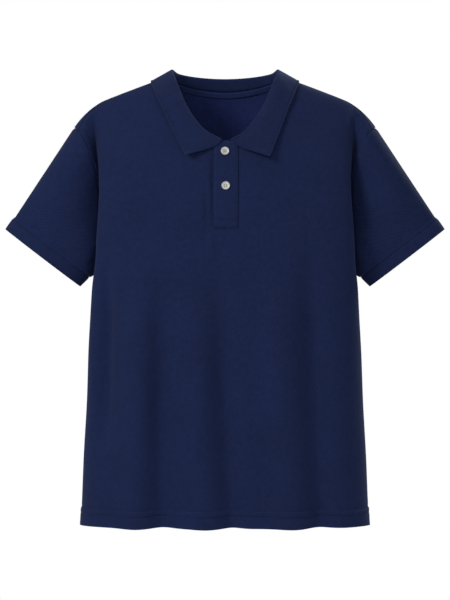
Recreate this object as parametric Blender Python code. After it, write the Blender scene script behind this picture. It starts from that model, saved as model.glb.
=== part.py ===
"""Short-sleeved polo shirt, hanging filled out as if it were worn, with nobody inside it.

Every cut-and-sewn piece is its own thin-walled solid: front and back panels, two sleeves with rib cuffs, a
turned-down rib collar, neck tape, two placket strips and two four-hole buttons.

The origin lies midway between the two high shoulder points, where collar and shoulder seams meet. +Z is up, the
front faces -Y, and +X is the wearer's left. Sizes below are in millimetres; finish() turns them to metres.
"""

import math

import bmesh
import bpy
from mathutils import Vector

# ---- driving dimensions, mm ----
HEM_Z = -716.0  # the hem, below the high shoulder points
CHEST_Z = -304.0  # armpit level: straight walls below it, rounded shoulders above
NECK_HALF = 88.0  # high shoulder points from the middle
FRONT_DROP = 111.0  # neckline, below the high shoulder points
BACK_DROP = 22.0
NECK_ROUND = 1.7  # 2 is an ellipse, 1 a V
FOLD_X = 206.0  # half width at the chest, where the panel turns to the side
SHOULDER_TIP_Z = -82.0

CLOTH = 1.2  # pique wall
HEM_CLOTH = 2.4  # turned up and stitched
HEM_DEPTH = 25.0
RIB = 1.6  # flat-knitted collar and cuffs
PLACKET = 1.5
TAPE = 1.0
SEAM_GAP = 0.35  # each edge stands back this far from its seam line
LAY_GAP = 0.45  # between cloths that lie on each other
TAPE_GAP = 1.5  # the tape spans the faces of the curved neck

FRONT, BACK = -1, 1
SHOULDER_ROUND = {FRONT: 1.8, BACK: 2.4}  # exponent of the profile from chest to ridge
SEAM_FORWARD_AT_FOLD = 0.97  # the shoulder seam runs forward of the ridge; 1 is on the ridge
SEAM_FORWARD_AT_SLEEVE = 0.85

# height, half width where the panel turns to the side, and how far that turn stands from the middle plane
TURN_ROWS = (
    (-716.0, 231.0, 12.0),
    (-520.0, 220.0, 16.0),
    (-400.0, 214.0, 28.0),
    (-340.0, 210.5, 38.0),
    (-304.0, 206.0, 45.0),
    (-255.0, 203.0, 55.0),
    (-204.0, 200.0, 60.0),
    (-160.0, 199.0, 60.0),
    (-119.0, 202.0, 56.0),
    (-87.0, 204.0, 54.0),
    (-42.0, 205.0, 54.0),
)
# height, front depth, back depth, roundness of the level section (2 is an ellipse)
DEPTH_ROWS = (
    (-716.0, 98.0, 92.0, 2.3),
    (-600.0, 100.0, 94.0, 2.35),
    (-450.0, 103.0, 96.0, 2.45),
    (-304.0, 105.0, 98.0, 2.5),
)
# height, side seam from the middle
SIDE_SEAM_ROWS = (
    (-716.0, 231.0),
    (-520.0, 220.0),
    (-420.0, 213.0),
    (-360.0, 206.0),
    (-325.0, 199.0),
    (-304.0, 190.0),
)
# armhole from armpit (0) to shoulder tip (1): seam from the middle, forward, backward
ARMHOLE_ROWS = (
    (0.0, 190.0, 0.0, 0.0),
    (0.12, 195.5, 12.0, 14.0),
    (0.25, 199.5, 18.0, 26.0),
    (0.38, 201.0, 22.0, 36.0),
    (0.5, 205.0, 31.0, 44.0),
    (0.62, 215.0, 42.0, 46.0),
    (0.74, 225.0, 41.0, 42.0),
    (0.84, 233.0, 31.0, 31.0),
    (0.92, 238.5, 17.0, 17.0),
    (1.0, 241.0, 0.0, 0.0),
)
# hanging folds: side, x at the top, x at the hem, top height, half width, how far it stands out
FOLDS = (
    (FRONT, -138.0, -150.0, -250.0, 24.0, 8.0),
    (FRONT, -113.0, -105.0, -326.0, 16.0, -8.0),
    (FRONT, -50.0, -30.0, -330.0, 22.0, 6.0),
    (FRONT, -20.0, 10.0, -262.0, 15.0, -7.0),
    (FRONT, 70.0, 110.0, -220.0, 30.0, 8.0),
    (FRONT, 122.0, 140.0, -200.0, 15.0, -9.0),
    (FRONT, 180.0, 180.0, -300.0, 18.0, 5.0),
    (BACK, -150.0, -160.0, -260.0, 24.0, 7.0),
    (BACK, -95.0, -80.0, -300.0, 18.0, -7.0),
    (BACK, -30.0, -22.0, -240.0, 26.0, 6.0),
    (BACK, 38.0, 50.0, -290.0, 18.0, -7.0),
    (BACK, 105.0, 120.0, -230.0, 28.0, 7.0),
)
FOLD_FADE = 130.0  # a fold reaches its full depth this far below its top

# grid of a body panel: columns from the middle, and rows as heights below the chest and turns above it
COLUMNS = (
    *(0.0, 13.0, 34.0, 56.0, 73.0, 83.0, 86.5, 87.65, 88.0),
    *(108.0, 130.0, 150.0, 168.0, 183.0, 194.0, 202.0, 206.0),
)
TURN_STEPS = (0.3, 0.65, 1.0)  # from the turn of the panel to its side seam or armhole
HEIGHTS = (-716.0, -691.5, -690.5, -630.0, -560.0, -490.0, -425.0, -375.0, -337.0)
RISES = (0.0, 0.12, 0.25, 0.38, 0.5, 0.62, 0.74, 0.84, 0.92, 1.0)
CAP_STEPS = (0.0, 0.5, 1.0)  # from the ridge forward to the shoulder seam
SLOT_HALF = 13.0  # the opening that the placket strips cover
SLOT_RISE = 0.38

# sleeve and cuff, in the plane of the arm: middle of the cuff's lower edge, its direction and its sizes
CUFF_MIDDLE = Vector((291.5, 0.0, -290.9))
CUFF_LINE = Vector((0.794, 0.0, 0.607))  # towards its outer corner
CUFF_UP = Vector((-0.607, 0.0, 0.794))
CUFF_HALF = 75.6
CUFF_DEPTH = 30.0
CUFF_HEIGHT = 20.0
SLEEVE_EASE = 3.4  # the sleeve is fuller than the cuff it is sewn to
SLEEVE_EASE_HEIGHT = 5.0
SLEEVE_SHIFT = -2.0
SLEEVE_BULGE = 12.0
SLEEVE_ROWS = (0.0, 0.12, 0.3, 0.52, 0.76, 1.0)

# collar from centre back (0) to the end of a leaf (1): place, roll line x y z, fall edge x y z
COLLAR_ROWS = (
    (0.0, 0.0, 56.0, -1.0, 0.0, 75.0, -48.0),
    (0.15, 42.5, 50.5, 1.0, 52.0, 69.0, -43.0),
    (0.28, 74.0, 36.0, 5.5, 90.0, 52.0, -31.0),
    (0.40, 84.5, 0.0, 9.3, 117.0, 0.0, -8.5),
    (0.52, 79.0, -32.0, -9.0, 109.0, -40.0, -33.0),
    (0.62, 70.0, -46.0, -31.0, 97.6, -59.0, -62.0),
    (0.72, 59.5, -58.0, -54.5, 88.0, -71.0, -88.0),
    (0.82, 45.6, -69.0, -76.0, 79.5, -81.0, -110.0),
    (0.92, 29.3, -77.0, -94.5, 73.5, -89.0, -126.0),
    (1.0, 9.0, -83.0, -107.6, 70.0, -96.0, -134.0),
)
COLLAR_END_X = 9.0
COLLAR_GAP = 0.85  # from the neckline to the foot of the stand
COLLAR_SPACING = 19.0  # most between two sections of the collar
WEARER_RIGHT_POINT = Vector((9.0, 0.0, 2.0))  # that collar point lies this much nearer the middle
ROLL_RADIUS = 2.2
ROLL_RADIUS_FRONT = 1.3
ROLL_ANGLES = (160.0, 90.0, 20.0)
FALL_STEPS = (0.33, 0.67, 1.0)
FALL_CLEAR = 2.2  # middle of the fall above the panels
FALL_CLEAR_PLACKET = 3.4

PLACKET_LEFT = -17.6
PLACKET_RIGHT = 20.3
PLACKET_BOTTOM = -247.0
UNDER_HALF = 17.0
UNDER_BOTTOM = -244.0
PLACKET_SPANS = 9
EDGE_DROP = 1.0  # plackets and tape start this far from the neckline
TAPE_WIDTH = 9.5

BUTTON_RADIUS = 6.5
BUTTON_HEIGHT = 2.6
BUTTON_SIDES = 28
BUTTON_BEVEL = 0.7
BUTTON_HOLE_RADIUS = 0.9
BUTTON_HOLE_SPACING = 1.5
BUTTON_PLACES = {"button_upper": (0.0, -125.8), "button_lower": (1.1, -180.2)}

# colours as linear RGB, and roughness
PIQUE = (0.0125, 0.0205, 0.064, 1.0)
RIB_NAVY = (0.0135, 0.0215, 0.066, 1.0)
TAPE_NAVY = (0.011, 0.016, 0.05, 1.0)
OFF_WHITE = (0.60, 0.58, 0.54, 1.0)


# ---- curves and tables ----
def smooth(rows, at, column):
    """Value of a table's column on a smooth curve through its rows, held constant past either end."""
    if at <= rows[0][0]:
        return rows[0][column]
    if at >= rows[-1][0]:
        return rows[-1][column]
    right = next(i for i, row in enumerate(rows) if row[0] >= at)
    left = right - 1
    span = rows[right][0] - rows[left][0]
    part = (at - rows[left][0]) / span

    def slope(i):
        before, after = max(i - 1, 0), min(i + 1, len(rows) - 1)
        return (rows[after][column] - rows[before][column]) / (rows[after][0] - rows[before][0])

    return hermite(rows[left][column], slope(left) * span, rows[right][column], slope(right) * span, part)


def hermite(start, leave, end, arrive, part):
    """Point of a cubic that starts and ends with the two given tangents."""
    square, cube = part * part, part**3
    return (
        start * (2 * cube - 3 * square + 1)
        + leave * (cube - 2 * square + part)
        + end * (3 * square - 2 * cube)
        + arrive * (cube - square)
    )


def ease(low, high, value):
    """Zero below low, one above high, and a smooth step between."""
    part = min(1.0, max(0.0, (value - low) / (high - low)))
    return part * part * (3 - 2 * part)


# ---- the body's outer face ----
def ridge_z(x):
    """Height of the shoulder ridge, carried on across the neck."""
    return 43.67 - 0.41 * math.hypot(x, 60.0) - 0.0094 * max(0.0, abs(x) - 190.0) ** 2


def neckline_z(side, x):
    drop = FRONT_DROP if side == FRONT else BACK_DROP
    return -drop * max(0.0, 1 - abs(x / NECK_HALF) ** NECK_ROUND) ** (1 / NECK_ROUND)


def fold_offset(side, x, z):
    """How far the hanging folds push the face out at a place."""
    total = 0.0
    for fold_side, top_x, hem_x, top_z, half, stands in FOLDS:
        if fold_side != side or z > top_z:
            continue
        path_x = top_x + (hem_x - top_x) * (top_z - z) / (top_z - HEM_Z)
        strength = ease(0.0, FOLD_FADE, top_z - z)
        total += stands * strength * math.exp(-(((x - path_x) / half) ** 2))
    return total


def section_depth(side, x, z):
    """Distance of the face from the middle plane, for the level section at this height."""
    turn_x, turn_y = smooth(TURN_ROWS, z, 1), smooth(TURN_ROWS, z, 2)
    deepest = smooth(DEPTH_ROWS, z, 1 if side == FRONT else 2)
    power = smooth(DEPTH_ROWS, z, 3)
    share = max(0.0, 1 - min(1.0, abs(x) / turn_x) ** power) ** (1 / power)
    return turn_y + (deepest - turn_y) * share + fold_offset(side, x, z) * min(1.0, 2 * share)


def column_x(reference, z):
    """A column's x at a height: straight down within the neck's width, and spread with the sides beyond it."""
    if abs(reference) <= NECK_HALF:
        return reference
    spread = (smooth(TURN_ROWS, z, 1) - NECK_HALF) / (FOLD_X - NECK_HALF)
    return math.copysign(NECK_HALF + (abs(reference) - NECK_HALF) * spread, reference)


def crest_angle(side, x):
    """Angle of the rounded profile at which the panel ends: a right angle at the ridge, less at the neckline."""
    if abs(x) >= NECK_HALF:
        return math.pi / 2
    share = (neckline_z(side, x) - CHEST_Z) / (ridge_z(x) - CHEST_Z)
    return math.asin(share ** (SHOULDER_ROUND[side] / 2))


def wall_point(side, reference, z):
    """A point of the face below the chest."""
    x = column_x(reference, z)
    return Vector((x, side * section_depth(side, x, z), z))


def shoulder_point(side, reference, rise):
    """A point of the face above the chest; rise is 0 at the chest and 1 at the neckline or the ridge."""
    power = 2 / SHOULDER_ROUND[side]
    x, z = reference, CHEST_Z
    for _ in range(4):
        angle = rise * crest_angle(side, x)
        z = CHEST_Z + (ridge_z(x) - CHEST_Z) * math.sin(angle) ** power
        x = column_x(reference, z)
    return Vector((x, side * section_depth(side, x, z) * max(0.0, math.cos(angle)) ** power, z))


def face_point(side, x, z):
    """The point of the face above the chest at a given x and height."""
    power = SHOULDER_ROUND[side]
    share = min(1.0, (z - CHEST_Z) / (ridge_z(x) - CHEST_Z))
    return Vector((x, side * section_depth(side, x, z) * (1 - share**power) ** (1 / power), z))


def armhole_point(side, hand, rise):
    """A point of the armhole seam; hand is -1 or 1 for the two sleeves."""
    y = side * smooth(ARMHOLE_ROWS, rise, 2 if side == FRONT else 3)
    z = CHEST_Z + (SHOULDER_TIP_Z - CHEST_Z) * math.sin(rise * math.pi / 2)
    return Vector((hand * smooth(ARMHOLE_ROWS, rise, 1), y, z))


def strip_point(side, turn, seam, rise, step):
    """A point of the strip that runs from the panel's turn to its side seam or armhole."""
    length = (seam - turn).length
    hand = math.copysign(1.0, turn.x)
    inward = Vector((0.0, -side, 0.0))
    across = (seam - turn).normalized() if length > 0 else inward
    top = ease(0.8, 1.0, rise)
    leave = inward * math.cos(rise * math.pi / 2) + Vector((0.83 * hand, 0.0, -0.56)) * top
    arrive = inward.lerp(across, ease(0.3, 0.6, rise)).lerp(Vector((0.56 * hand, 0.0, -0.83)), top)
    return hermite(turn, leave * length, seam, arrive * length, step)


def seam_rise(reference, fraction):
    """Rise at which the front panel ends, for a column and a step along its strip."""
    if abs(reference) <= NECK_HALF:
        return 1.0
    at_fold = 1 - (1 - SEAM_FORWARD_AT_FOLD) * (abs(reference) - NECK_HALF) / (FOLD_X - NECK_HALF)
    return at_fold + (SEAM_FORWARD_AT_SLEEVE - SEAM_FORWARD_AT_FOLD) * fraction


def panel_point(side, column, low_z, rise):
    """A point of a panel: column is (reference x, step along the strip); low_z is a height, or None above the chest."""
    reference, step = column
    hand = math.copysign(1.0, reference)
    if low_z is not None:
        turn = wall_point(side, reference, low_z)
        if step == 0:
            return turn
        return strip_point(side, turn, Vector((hand * smooth(SIDE_SEAM_ROWS, low_z, 1), 0.0, low_z)), 0.0, step)
    ends = (seam_rise(reference, 0.0), seam_rise(reference, 1.0)) if side == FRONT else (1.0, 1.0)
    turn = shoulder_point(side, reference, rise * ends[0])
    if step == 0:
        return turn
    return strip_point(side, turn, armhole_point(side, hand, rise * ends[1]), rise, step)


def cap_point(column, step_forward):
    """A point of the back panel's cap, from the ridge (0) forward to the shoulder seam (1)."""
    reference, step = column
    hand = math.copysign(1.0, reference)
    turn = shoulder_point(FRONT, reference, 1 - (1 - seam_rise(reference, 0.0)) * step_forward)
    if step == 0:
        return turn
    seam = armhole_point(FRONT, hand, 1 - (1 - seam_rise(reference, 1.0)) * step_forward)
    return strip_point(FRONT, turn, seam, 1.0, step)


# ---- meshes ----
def grid(columns, rows, place):
    """A sheet of quads with its point (i, j) at place(i, j)."""
    sheet = bmesh.new()
    bmesh.ops.create_grid(sheet, x_segments=columns - 1, y_segments=rows - 1, size=1.0)
    for vertex in sheet.verts:
        i = round((vertex.co.x + 1) * (columns - 1) / 2)
        j = round((vertex.co.y + 1) * (rows - 1) / 2)
        vertex.co = place(i, j)
    return sheet


def join(sheets):
    """One sheet from several that share their edges."""
    whole = bmesh.new()
    for sheet in sheets:
        mesh = bpy.data.meshes.new("joined")
        sheet.to_mesh(mesh)
        whole.from_mesh(mesh)
        bpy.data.meshes.remove(mesh)
    bmesh.ops.remove_doubles(whole, verts=whole.verts[:], dist=0.01)
    bmesh.ops.recalc_face_normals(whole, faces=whole.faces[:])
    return whole


def place_key(point):
    return tuple(round(value * 20) for value in point)


def outward_directions(skin):
    """The outward direction at each point of the whole skin, which tells a single piece its outer face."""
    skin.normal_update()
    foremost = min(skin.verts, key=lambda vertex: vertex.co.y)
    sign = 1.0 if foremost.normal.y < 0 else -1.0
    return {place_key(vertex.co): vertex.normal * sign for vertex in skin.verts}


def stand_back(sheet, directions, wall_at, gap):
    """Moves every open edge back along the sheet by the gap, and further where the walls behind a ridge would meet."""
    moves = {}
    for vertex in sheet.verts:
        if not vertex.is_boundary:
            continue
        crossing = [edge for edge in vertex.link_edges if not edge.is_boundary] or list(vertex.link_edges)
        away = sum(((edge.other_vert(vertex).co - vertex.co).normalized() for edge in crossing), Vector())
        away.normalize()
        ridge = max(0.0, -away.dot(directions[place_key(vertex.co)]))
        moves[vertex] = away * (gap + wall_at(vertex.co) * ridge)
    for vertex, move in moves.items():
        vertex.co += move


def give_wall(sheet, directions, wall_at):
    """Turns a sheet into a closed thin wall behind its outer face."""
    sheet.normal_update()
    agreement = sum(vertex.normal.dot(directions[place_key(vertex.co)]) for vertex in sheet.verts)
    sign = -1.0 if agreement > 0 else 1.0
    inward = {vertex: vertex.normal * (sign * wall_at(vertex.co)) for vertex in sheet.verts}
    stand_back(sheet, directions, wall_at, SEAM_GAP)
    shift = {tuple(vertex.co): inward[vertex] for vertex in sheet.verts}
    made = bmesh.ops.extrude_face_region(sheet, geom=sheet.faces[:])
    for vertex in made["geom"]:
        if isinstance(vertex, bmesh.types.BMVert):
            vertex.co += shift[tuple(vertex.co)]
    bmesh.ops.recalc_face_normals(sheet, faces=sheet.faces[:])


def body_wall(point):
    return HEM_CLOTH if point.z < HEM_Z + HEM_DEPTH else CLOTH


def rib_wall(_point):
    return RIB


def fabric(name, colour, roughness):
    material = bpy.data.materials.new(name)
    material.use_nodes = True
    shader = material.node_tree.nodes["Principled BSDF"]
    shader.inputs["Base Color"].default_value = colour
    shader.inputs["Roughness"].default_value = roughness
    shader.inputs["Metallic"].default_value = 0.0
    return material


def finish(name, shape, material):
    """Makes an object of a shape in millimetres."""
    bmesh.ops.scale(shape, vec=(0.001, 0.001, 0.001), verts=shape.verts[:])
    mesh = bpy.data.meshes.new(name)
    shape.to_mesh(mesh)
    shape.free()
    mesh.materials.append(material)
    mesh.shade_smooth()
    mesh.set_sharp_from_angle(angle=math.radians(40))
    thing = bpy.data.objects.new(name, mesh)
    bpy.context.scene.collection.objects.link(thing)
    return thing


# ---- panels ----
def panel_columns():
    half = [(x, 0.0) for x in COLUMNS] + [(FOLD_X, step) for step in TURN_STEPS]
    return [(-x, step) for x, step in reversed(half[1:])] + half


def panel_sheet(side):
    columns = panel_columns()
    levels = [(z, 0.0) for z in HEIGHTS] + [(None, rise) for rise in RISES]
    return grid(len(columns), len(levels), lambda i, j: panel_point(side, columns[i], *levels[j]))


def cut_slot(sheet):
    """Opens the front panel where the placket strips go."""
    bottom = shoulder_point(FRONT, 0.0, SLOT_RISE).z
    middles = [(face, face.calc_center_median()) for face in sheet.faces]
    faces = [face for face, middle in middles if abs(middle.x) < SLOT_HALF and middle.z > bottom]
    bmesh.ops.delete(sheet, geom=faces, context="FACES")


def cap_sheet(hand):
    half = [(x, 0.0) for x in COLUMNS if x >= NECK_HALF] + [(FOLD_X, step) for step in TURN_STEPS]
    columns = [(hand * x, step) for x, step in half]
    return grid(len(columns), len(CAP_STEPS), lambda i, j: cap_point(columns[i], CAP_STEPS[j]))


# ---- sleeves and cuffs ----
def armhole_loop(hand):
    """Points around the armhole from the armpit over the front, the shoulder tip and the back, closed."""
    front = [armhole_point(FRONT, hand, rise * SEAM_FORWARD_AT_SLEEVE) for rise in RISES]
    cap = [armhole_point(FRONT, hand, 1 - (1 - SEAM_FORWARD_AT_SLEEVE) * step) for step in reversed(CAP_STEPS[:-1])]
    back = [armhole_point(BACK, hand, rise) for rise in reversed(RISES[:-1])]
    return front + cap + back, len(front) + len(cap) - 1


def loop_angles(points, tip):
    """Each armhole point's angle about the cuff: half a turn at the armpit, none at the shoulder tip."""
    lengths = [0.0]
    for before, after in zip(points, points[1:]):
        lengths.append(lengths[-1] + (after - before).length)
    angles = []
    for i, length in enumerate(lengths):
        if i <= tip:
            angles.append(-math.pi * (1 - length / lengths[tip]))
        else:
            angles.append(math.pi * (length - lengths[tip]) / (lengths[-1] - lengths[tip]))
    return angles


def ring_point(hand, up, shift, ease_out, angle):
    """A point of the ring around the cuff, this far up the sleeve from the cuff's edge."""
    line = CUFF_LINE * ((CUFF_HALF + ease_out) * math.cos(angle) + shift)
    point = CUFF_MIDDLE + CUFF_UP * up + line + Vector((0.0, (CUFF_DEPTH + ease_out) * math.sin(angle), 0.0))
    return Vector((hand * point.x, point.y, point.z))


def sleeve_point(hand, start, angle, row):
    """A point of the sleeve: rows run from the armhole to the fullest ring, and the last is the cuff seam."""
    if row == len(SLEEVE_ROWS):
        return ring_point(hand, CUFF_HEIGHT, 0.0, 0.0, angle)
    share = SLEEVE_ROWS[row]
    full = ring_point(hand, CUFF_HEIGHT + SLEEVE_EASE_HEIGHT, SLEEVE_SHIFT, SLEEVE_EASE, angle)
    bulge = Vector((0.0, SLEEVE_BULGE * math.sin(math.pi * share) * math.sin(angle), 0.0))
    return start.lerp(full, share) + bulge


def sleeve_sheet(hand):
    points, tip = armhole_loop(hand)
    angles = loop_angles(points, tip)
    sheet = grid(
        len(points),
        len(SLEEVE_ROWS) + 1,
        lambda i, j: sleeve_point(hand, points[i], angles[i], j),
    )
    bmesh.ops.remove_doubles(sheet, verts=sheet.verts[:], dist=0.01)
    return sheet


def cuff_sheet(hand):
    angles = loop_angles(*armhole_loop(hand))
    sheet = grid(len(angles), 3, lambda i, j: ring_point(hand, CUFF_HEIGHT * (2 - j) / 2, 0.0, 0.0, angles[i]))
    bmesh.ops.remove_doubles(sheet, verts=sheet.verts[:], dist=0.01)
    return sheet


# ---- what lies on the body ----
def outside(point):
    """How far a point stands outside the body's face, and the direction away from it."""

    def level(at):
        side = FRONT if at.y < 0 else BACK
        power = SHOULDER_ROUND[side]
        depth = abs(at.y) / section_depth(side, at.x, at.z)
        rise = max(0.0, at.z - CHEST_Z) / (ridge_z(at.x) - CHEST_Z)
        return depth**power + rise**power - 1

    step = 0.2
    slope = Vector([(level(point + axis) - level(point - axis)) / (2 * step) for axis in (
        Vector((step, 0.0, 0.0)),
        Vector((0.0, step, 0.0)),
        Vector((0.0, 0.0, step)),
    )])
    return level(point) / slope.length, slope.normalized()


def at_distance(point, distance):
    """The point moved to stand this far outside the face; a negative distance is inside it."""
    for _ in range(4):
        stands, away = outside(point)
        point = point + away * (distance - stands)
    return point


def lifted(point, clearance):
    """The point, moved away from the body if it stands nearer than the clearance."""
    return at_distance(point, clearance) if outside(point)[0] < clearance else point


def patch(name, columns, rows, place, thickness, material):
    """A thin piece about a middle surface, by a Solidify modifier."""
    thing = finish(name, grid(columns, rows, place), material)
    wall = thing.modifiers.new("wall", "SOLIDIFY")
    wall.thickness = thickness / 1000
    wall.offset = 0.0
    wall.use_even_offset = True
    return thing


def placket(name, left, right, bottom, distance, material):
    """A placket strip, its middle at this distance from the panel's outer face."""
    columns = (left, -SLOT_HALF, 0.0, SLOT_HALF, right)

    def place(i, j):
        x = columns[i]
        top = neckline_z(FRONT, x) - EDGE_DROP
        z = bottom + (top - bottom) * j / PLACKET_SPANS
        return at_distance(face_point(FRONT, x, z), distance)

    return patch(name, len(columns), PLACKET_SPANS + 1, place, PLACKET, material)


# ---- collar and neck tape ----
def neck_stations():
    """Neckline points of one half, from centre back to the end of the leaf, and their places from 0 to 1."""
    back = [shoulder_point(BACK, x, 1.0) for x in COLUMNS if x <= NECK_HALF]
    front = [shoulder_point(FRONT, x, 1.0) for x in reversed(COLUMNS) if 0.0 < x < NECK_HALF]
    middle = shoulder_point(FRONT, 0.0, 1.0)
    end = front[-1].lerp(middle, 1 - COLLAR_END_X / front[-1].x)
    corners = back + front + [end]
    points = [corners[0]]
    for before, after in zip(corners, corners[1:]):
        pieces = math.ceil((after - before).length / COLLAR_SPACING)
        points += [before.lerp(after, i / pieces) for i in range(1, pieces + 1)]
    lengths = [0.0]
    for before, after in zip(points, points[1:]):
        lengths.append(lengths[-1] + (after - before).length)
    return points, [length / lengths[-1] for length in lengths]


def collar_line(place, first, hand):
    """A point of the roll line or the fall edge, from the table's columns that start at first."""
    mirrored = [(-row[0], -row[first], row[first + 1], row[first + 2]) for row in reversed(COLLAR_ROWS[1:])]
    rows = mirrored + [(row[0], row[first], row[first + 1], row[first + 2]) for row in COLLAR_ROWS]
    point = Vector([smooth(rows, place, column) for column in (1, 2, 3)])
    if first == 4 and hand < 0:
        toward = WEARER_RIGHT_POINT * ease(0.45, 1.0, place)
        point += Vector((-toward.x, toward.y, toward.z))
    return Vector((hand * point.x, point.y, point.z))


def collar_section(seam, place, hand):
    """Points across the collar at one place: up the stand, over the roll and down the fall."""
    seam = Vector((hand * seam.x, seam.y, seam.z))
    seam -= outside(seam)[1] * CLOTH / 2
    roll, edge = collar_line(place, 1, hand), collar_line(place, 4, hand)
    along = collar_line(min(1.0, place + 0.02), 1, hand) - collar_line(max(-1.0, place - 0.02), 1, hand)
    up = (roll - seam).normalized()
    out = along.cross(up).normalized()
    if out.dot(edge - roll) < 0:
        out.negate()
    radius = ROLL_RADIUS + (ROLL_RADIUS_FRONT - ROLL_RADIUS) * ease(0.6, 1.0, place)
    centre = roll - up * radius
    points = [seam + up * COLLAR_GAP, seam.lerp(centre - out * radius, 0.6)]
    for degrees in ROLL_ANGLES:
        angle = math.radians(degrees)
        points.append(centre + (out * math.cos(angle) + up * math.sin(angle)) * radius)
    start = points[-1]
    length = (edge - start).length
    for step in FALL_STEPS:
        point = hermite(start, (out * 0.5 - up * 0.5) * length, edge, (edge - start) * 0.9, step)
        near_placket = 1 - ease(PLACKET_RIGHT, PLACKET_RIGHT + 12.0, abs(point.x))
        clearance = FALL_CLEAR + (FALL_CLEAR_PLACKET - FALL_CLEAR) * near_placket * (point.y < 0)
        points.append(lifted(point, clearance))
    return points


def collar(material):
    stations, places = neck_stations()
    right = [collar_section(seam, place, -1) for seam, place in zip(stations[1:], places[1:])]
    left = [collar_section(seam, place, 1) for seam, place in zip(stations, places)]
    sections = right[::-1] + left
    return patch("collar", len(sections), len(sections[0]), lambda i, j: sections[i][j], RIB, material)


def neck_tape(material):
    """The tape that covers the collar seam inside the back neck, from shoulder to shoulder."""
    half = [shoulder_point(BACK, x, 1.0) for x in COLUMNS if x <= NECK_HALF]
    seam = [Vector((-point.x, point.y, point.z)) for point in half[:0:-1]] + half
    depth = -(CLOTH + TAPE_GAP + TAPE / 2)

    def place(i, j):
        along = seam[min(i + 1, len(seam) - 1)] - seam[max(i - 1, 0)]
        _, away = outside(seam[i])
        across = along.cross(away).normalized()
        if across.dot(Vector((seam[i].x, max(seam[i].y, 1.0), 0.0))) < 0:
            across.negate()
        return at_distance(seam[i] + across * (EDGE_DROP + TAPE_WIDTH * j), depth)

    return patch("neck_tape", len(seam), 2, place, TAPE, material)


# ---- buttons ----
def button(name, x, z, material, drill):
    """A round four-hole button lying on the upper placket strip."""
    face = face_point(FRONT, x, z)
    _, away = outside(face)
    shape = bmesh.new()
    bmesh.ops.create_cone(
        shape,
        cap_ends=True,
        segments=BUTTON_SIDES,
        radius1=BUTTON_RADIUS,
        radius2=BUTTON_RADIUS,
        depth=BUTTON_HEIGHT,
    )
    rims = [edge for edge in shape.edges if abs(edge.verts[0].co.z - edge.verts[1].co.z) < 0.01]
    bmesh.ops.bevel(
        shape, geom=rims, offset=BUTTON_BEVEL, segments=2, profile=0.5, affect="EDGES", material=-1
    )
    thing = finish(name, shape, material)
    height = LAY_GAP + PLACKET + 0.35 + BUTTON_HEIGHT / 2
    thing.location = (face + away * height) / 1000
    thing.rotation_euler = away.to_track_quat("Z", "Y").to_euler()
    for i, (right, up) in enumerate(((1, 1), (-1, 1), (-1, -1), (1, -1))):
        cutter = bpy.data.objects.new(f"{name}_hole_{i}", drill)
        bpy.context.scene.collection.objects.link(cutter)
        cutter.parent = thing
        cutter.location = (right * BUTTON_HOLE_SPACING / 1000, up * BUTTON_HOLE_SPACING / 1000, 0.0)
        cutter.hide_render = True
        cutter.display_type = "WIRE"
        cut = thing.modifiers.new(cutter.name, "BOOLEAN")
        cut.operation = "DIFFERENCE"
        cut.object = cutter
        cut.solver = "EXACT"
    return thing


def button_drill():
    """The shared mesh of a button hole's cutter."""
    shape = bmesh.new()
    bmesh.ops.create_cone(
        shape,
        cap_ends=True,
        segments=10,
        radius1=BUTTON_HOLE_RADIUS / 1000,
        radius2=BUTTON_HOLE_RADIUS / 1000,
        depth=3 * BUTTON_HEIGHT / 1000,
    )
    mesh = bpy.data.meshes.new("button_drill")
    shape.to_mesh(mesh)
    shape.free()
    return mesh


def main():
    for thing in list(bpy.data.objects):
        bpy.data.objects.remove(thing, do_unlink=True)

    pique = fabric("navy_pique", PIQUE, 0.9)
    rib = fabric("navy_rib", RIB_NAVY, 0.9)
    tape = fabric("navy_tape", TAPE_NAVY, 0.85)
    resin = fabric("off_white_resin", OFF_WHITE, 0.35)

    front = panel_sheet(FRONT)
    back = join([panel_sheet(BACK), cap_sheet(-1), cap_sheet(1)])
    sleeves = {"right": sleeve_sheet(-1), "left": sleeve_sheet(1)}
    cuffs = {"right": cuff_sheet(-1), "left": cuff_sheet(1)}
    directions = outward_directions(join([front, back, *sleeves.values(), *cuffs.values()]))
    cut_slot(front)

    for name, sheet, wall_at, material in (
        ("front_panel", front, body_wall, pique),
        ("back_panel", back, body_wall, pique),
        ("sleeve_right", sleeves["right"], body_wall, pique),
        ("sleeve_left", sleeves["left"], body_wall, pique),
        ("cuff_right", cuffs["right"], rib_wall, rib),
        ("cuff_left", cuffs["left"], rib_wall, rib),
    ):
        give_wall(sheet, directions, wall_at)
        finish(name, sheet, material)

    collar(rib)
    neck_tape(tape)
    placket("placket_upper", PLACKET_LEFT, PLACKET_RIGHT, PLACKET_BOTTOM, LAY_GAP + PLACKET / 2, pique)
    under = -(CLOTH + LAY_GAP + PLACKET / 2)
    placket("placket_under", -UNDER_HALF, UNDER_HALF, UNDER_BOTTOM, under, pique)

    drill = button_drill()
    for name, (x, z) in BUTTON_PLACES.items():
        button(name, x, z, resin, drill)


main()
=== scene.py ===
"""Looks of a navy cotton polo shirt that hangs filled out, with nobody inside it.

The shirt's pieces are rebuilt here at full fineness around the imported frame: pique panels and sleeves,
flat-knitted collar and cuffs, neck tape, plackets, resin buttons and the rows of stitches that hold them.
Shapes are worked out in millimetres in the frame's own axes (+Z up, front towards -Y, +X the wearer's left)
and written in metres.
"""

import sys
import logging
import math
from collections.abc import Callable, Sequence
from dataclasses import dataclass, field
from enum import Enum

import bmesh
import bpy
import numpy as np
from mathutils import Matrix, Vector


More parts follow.
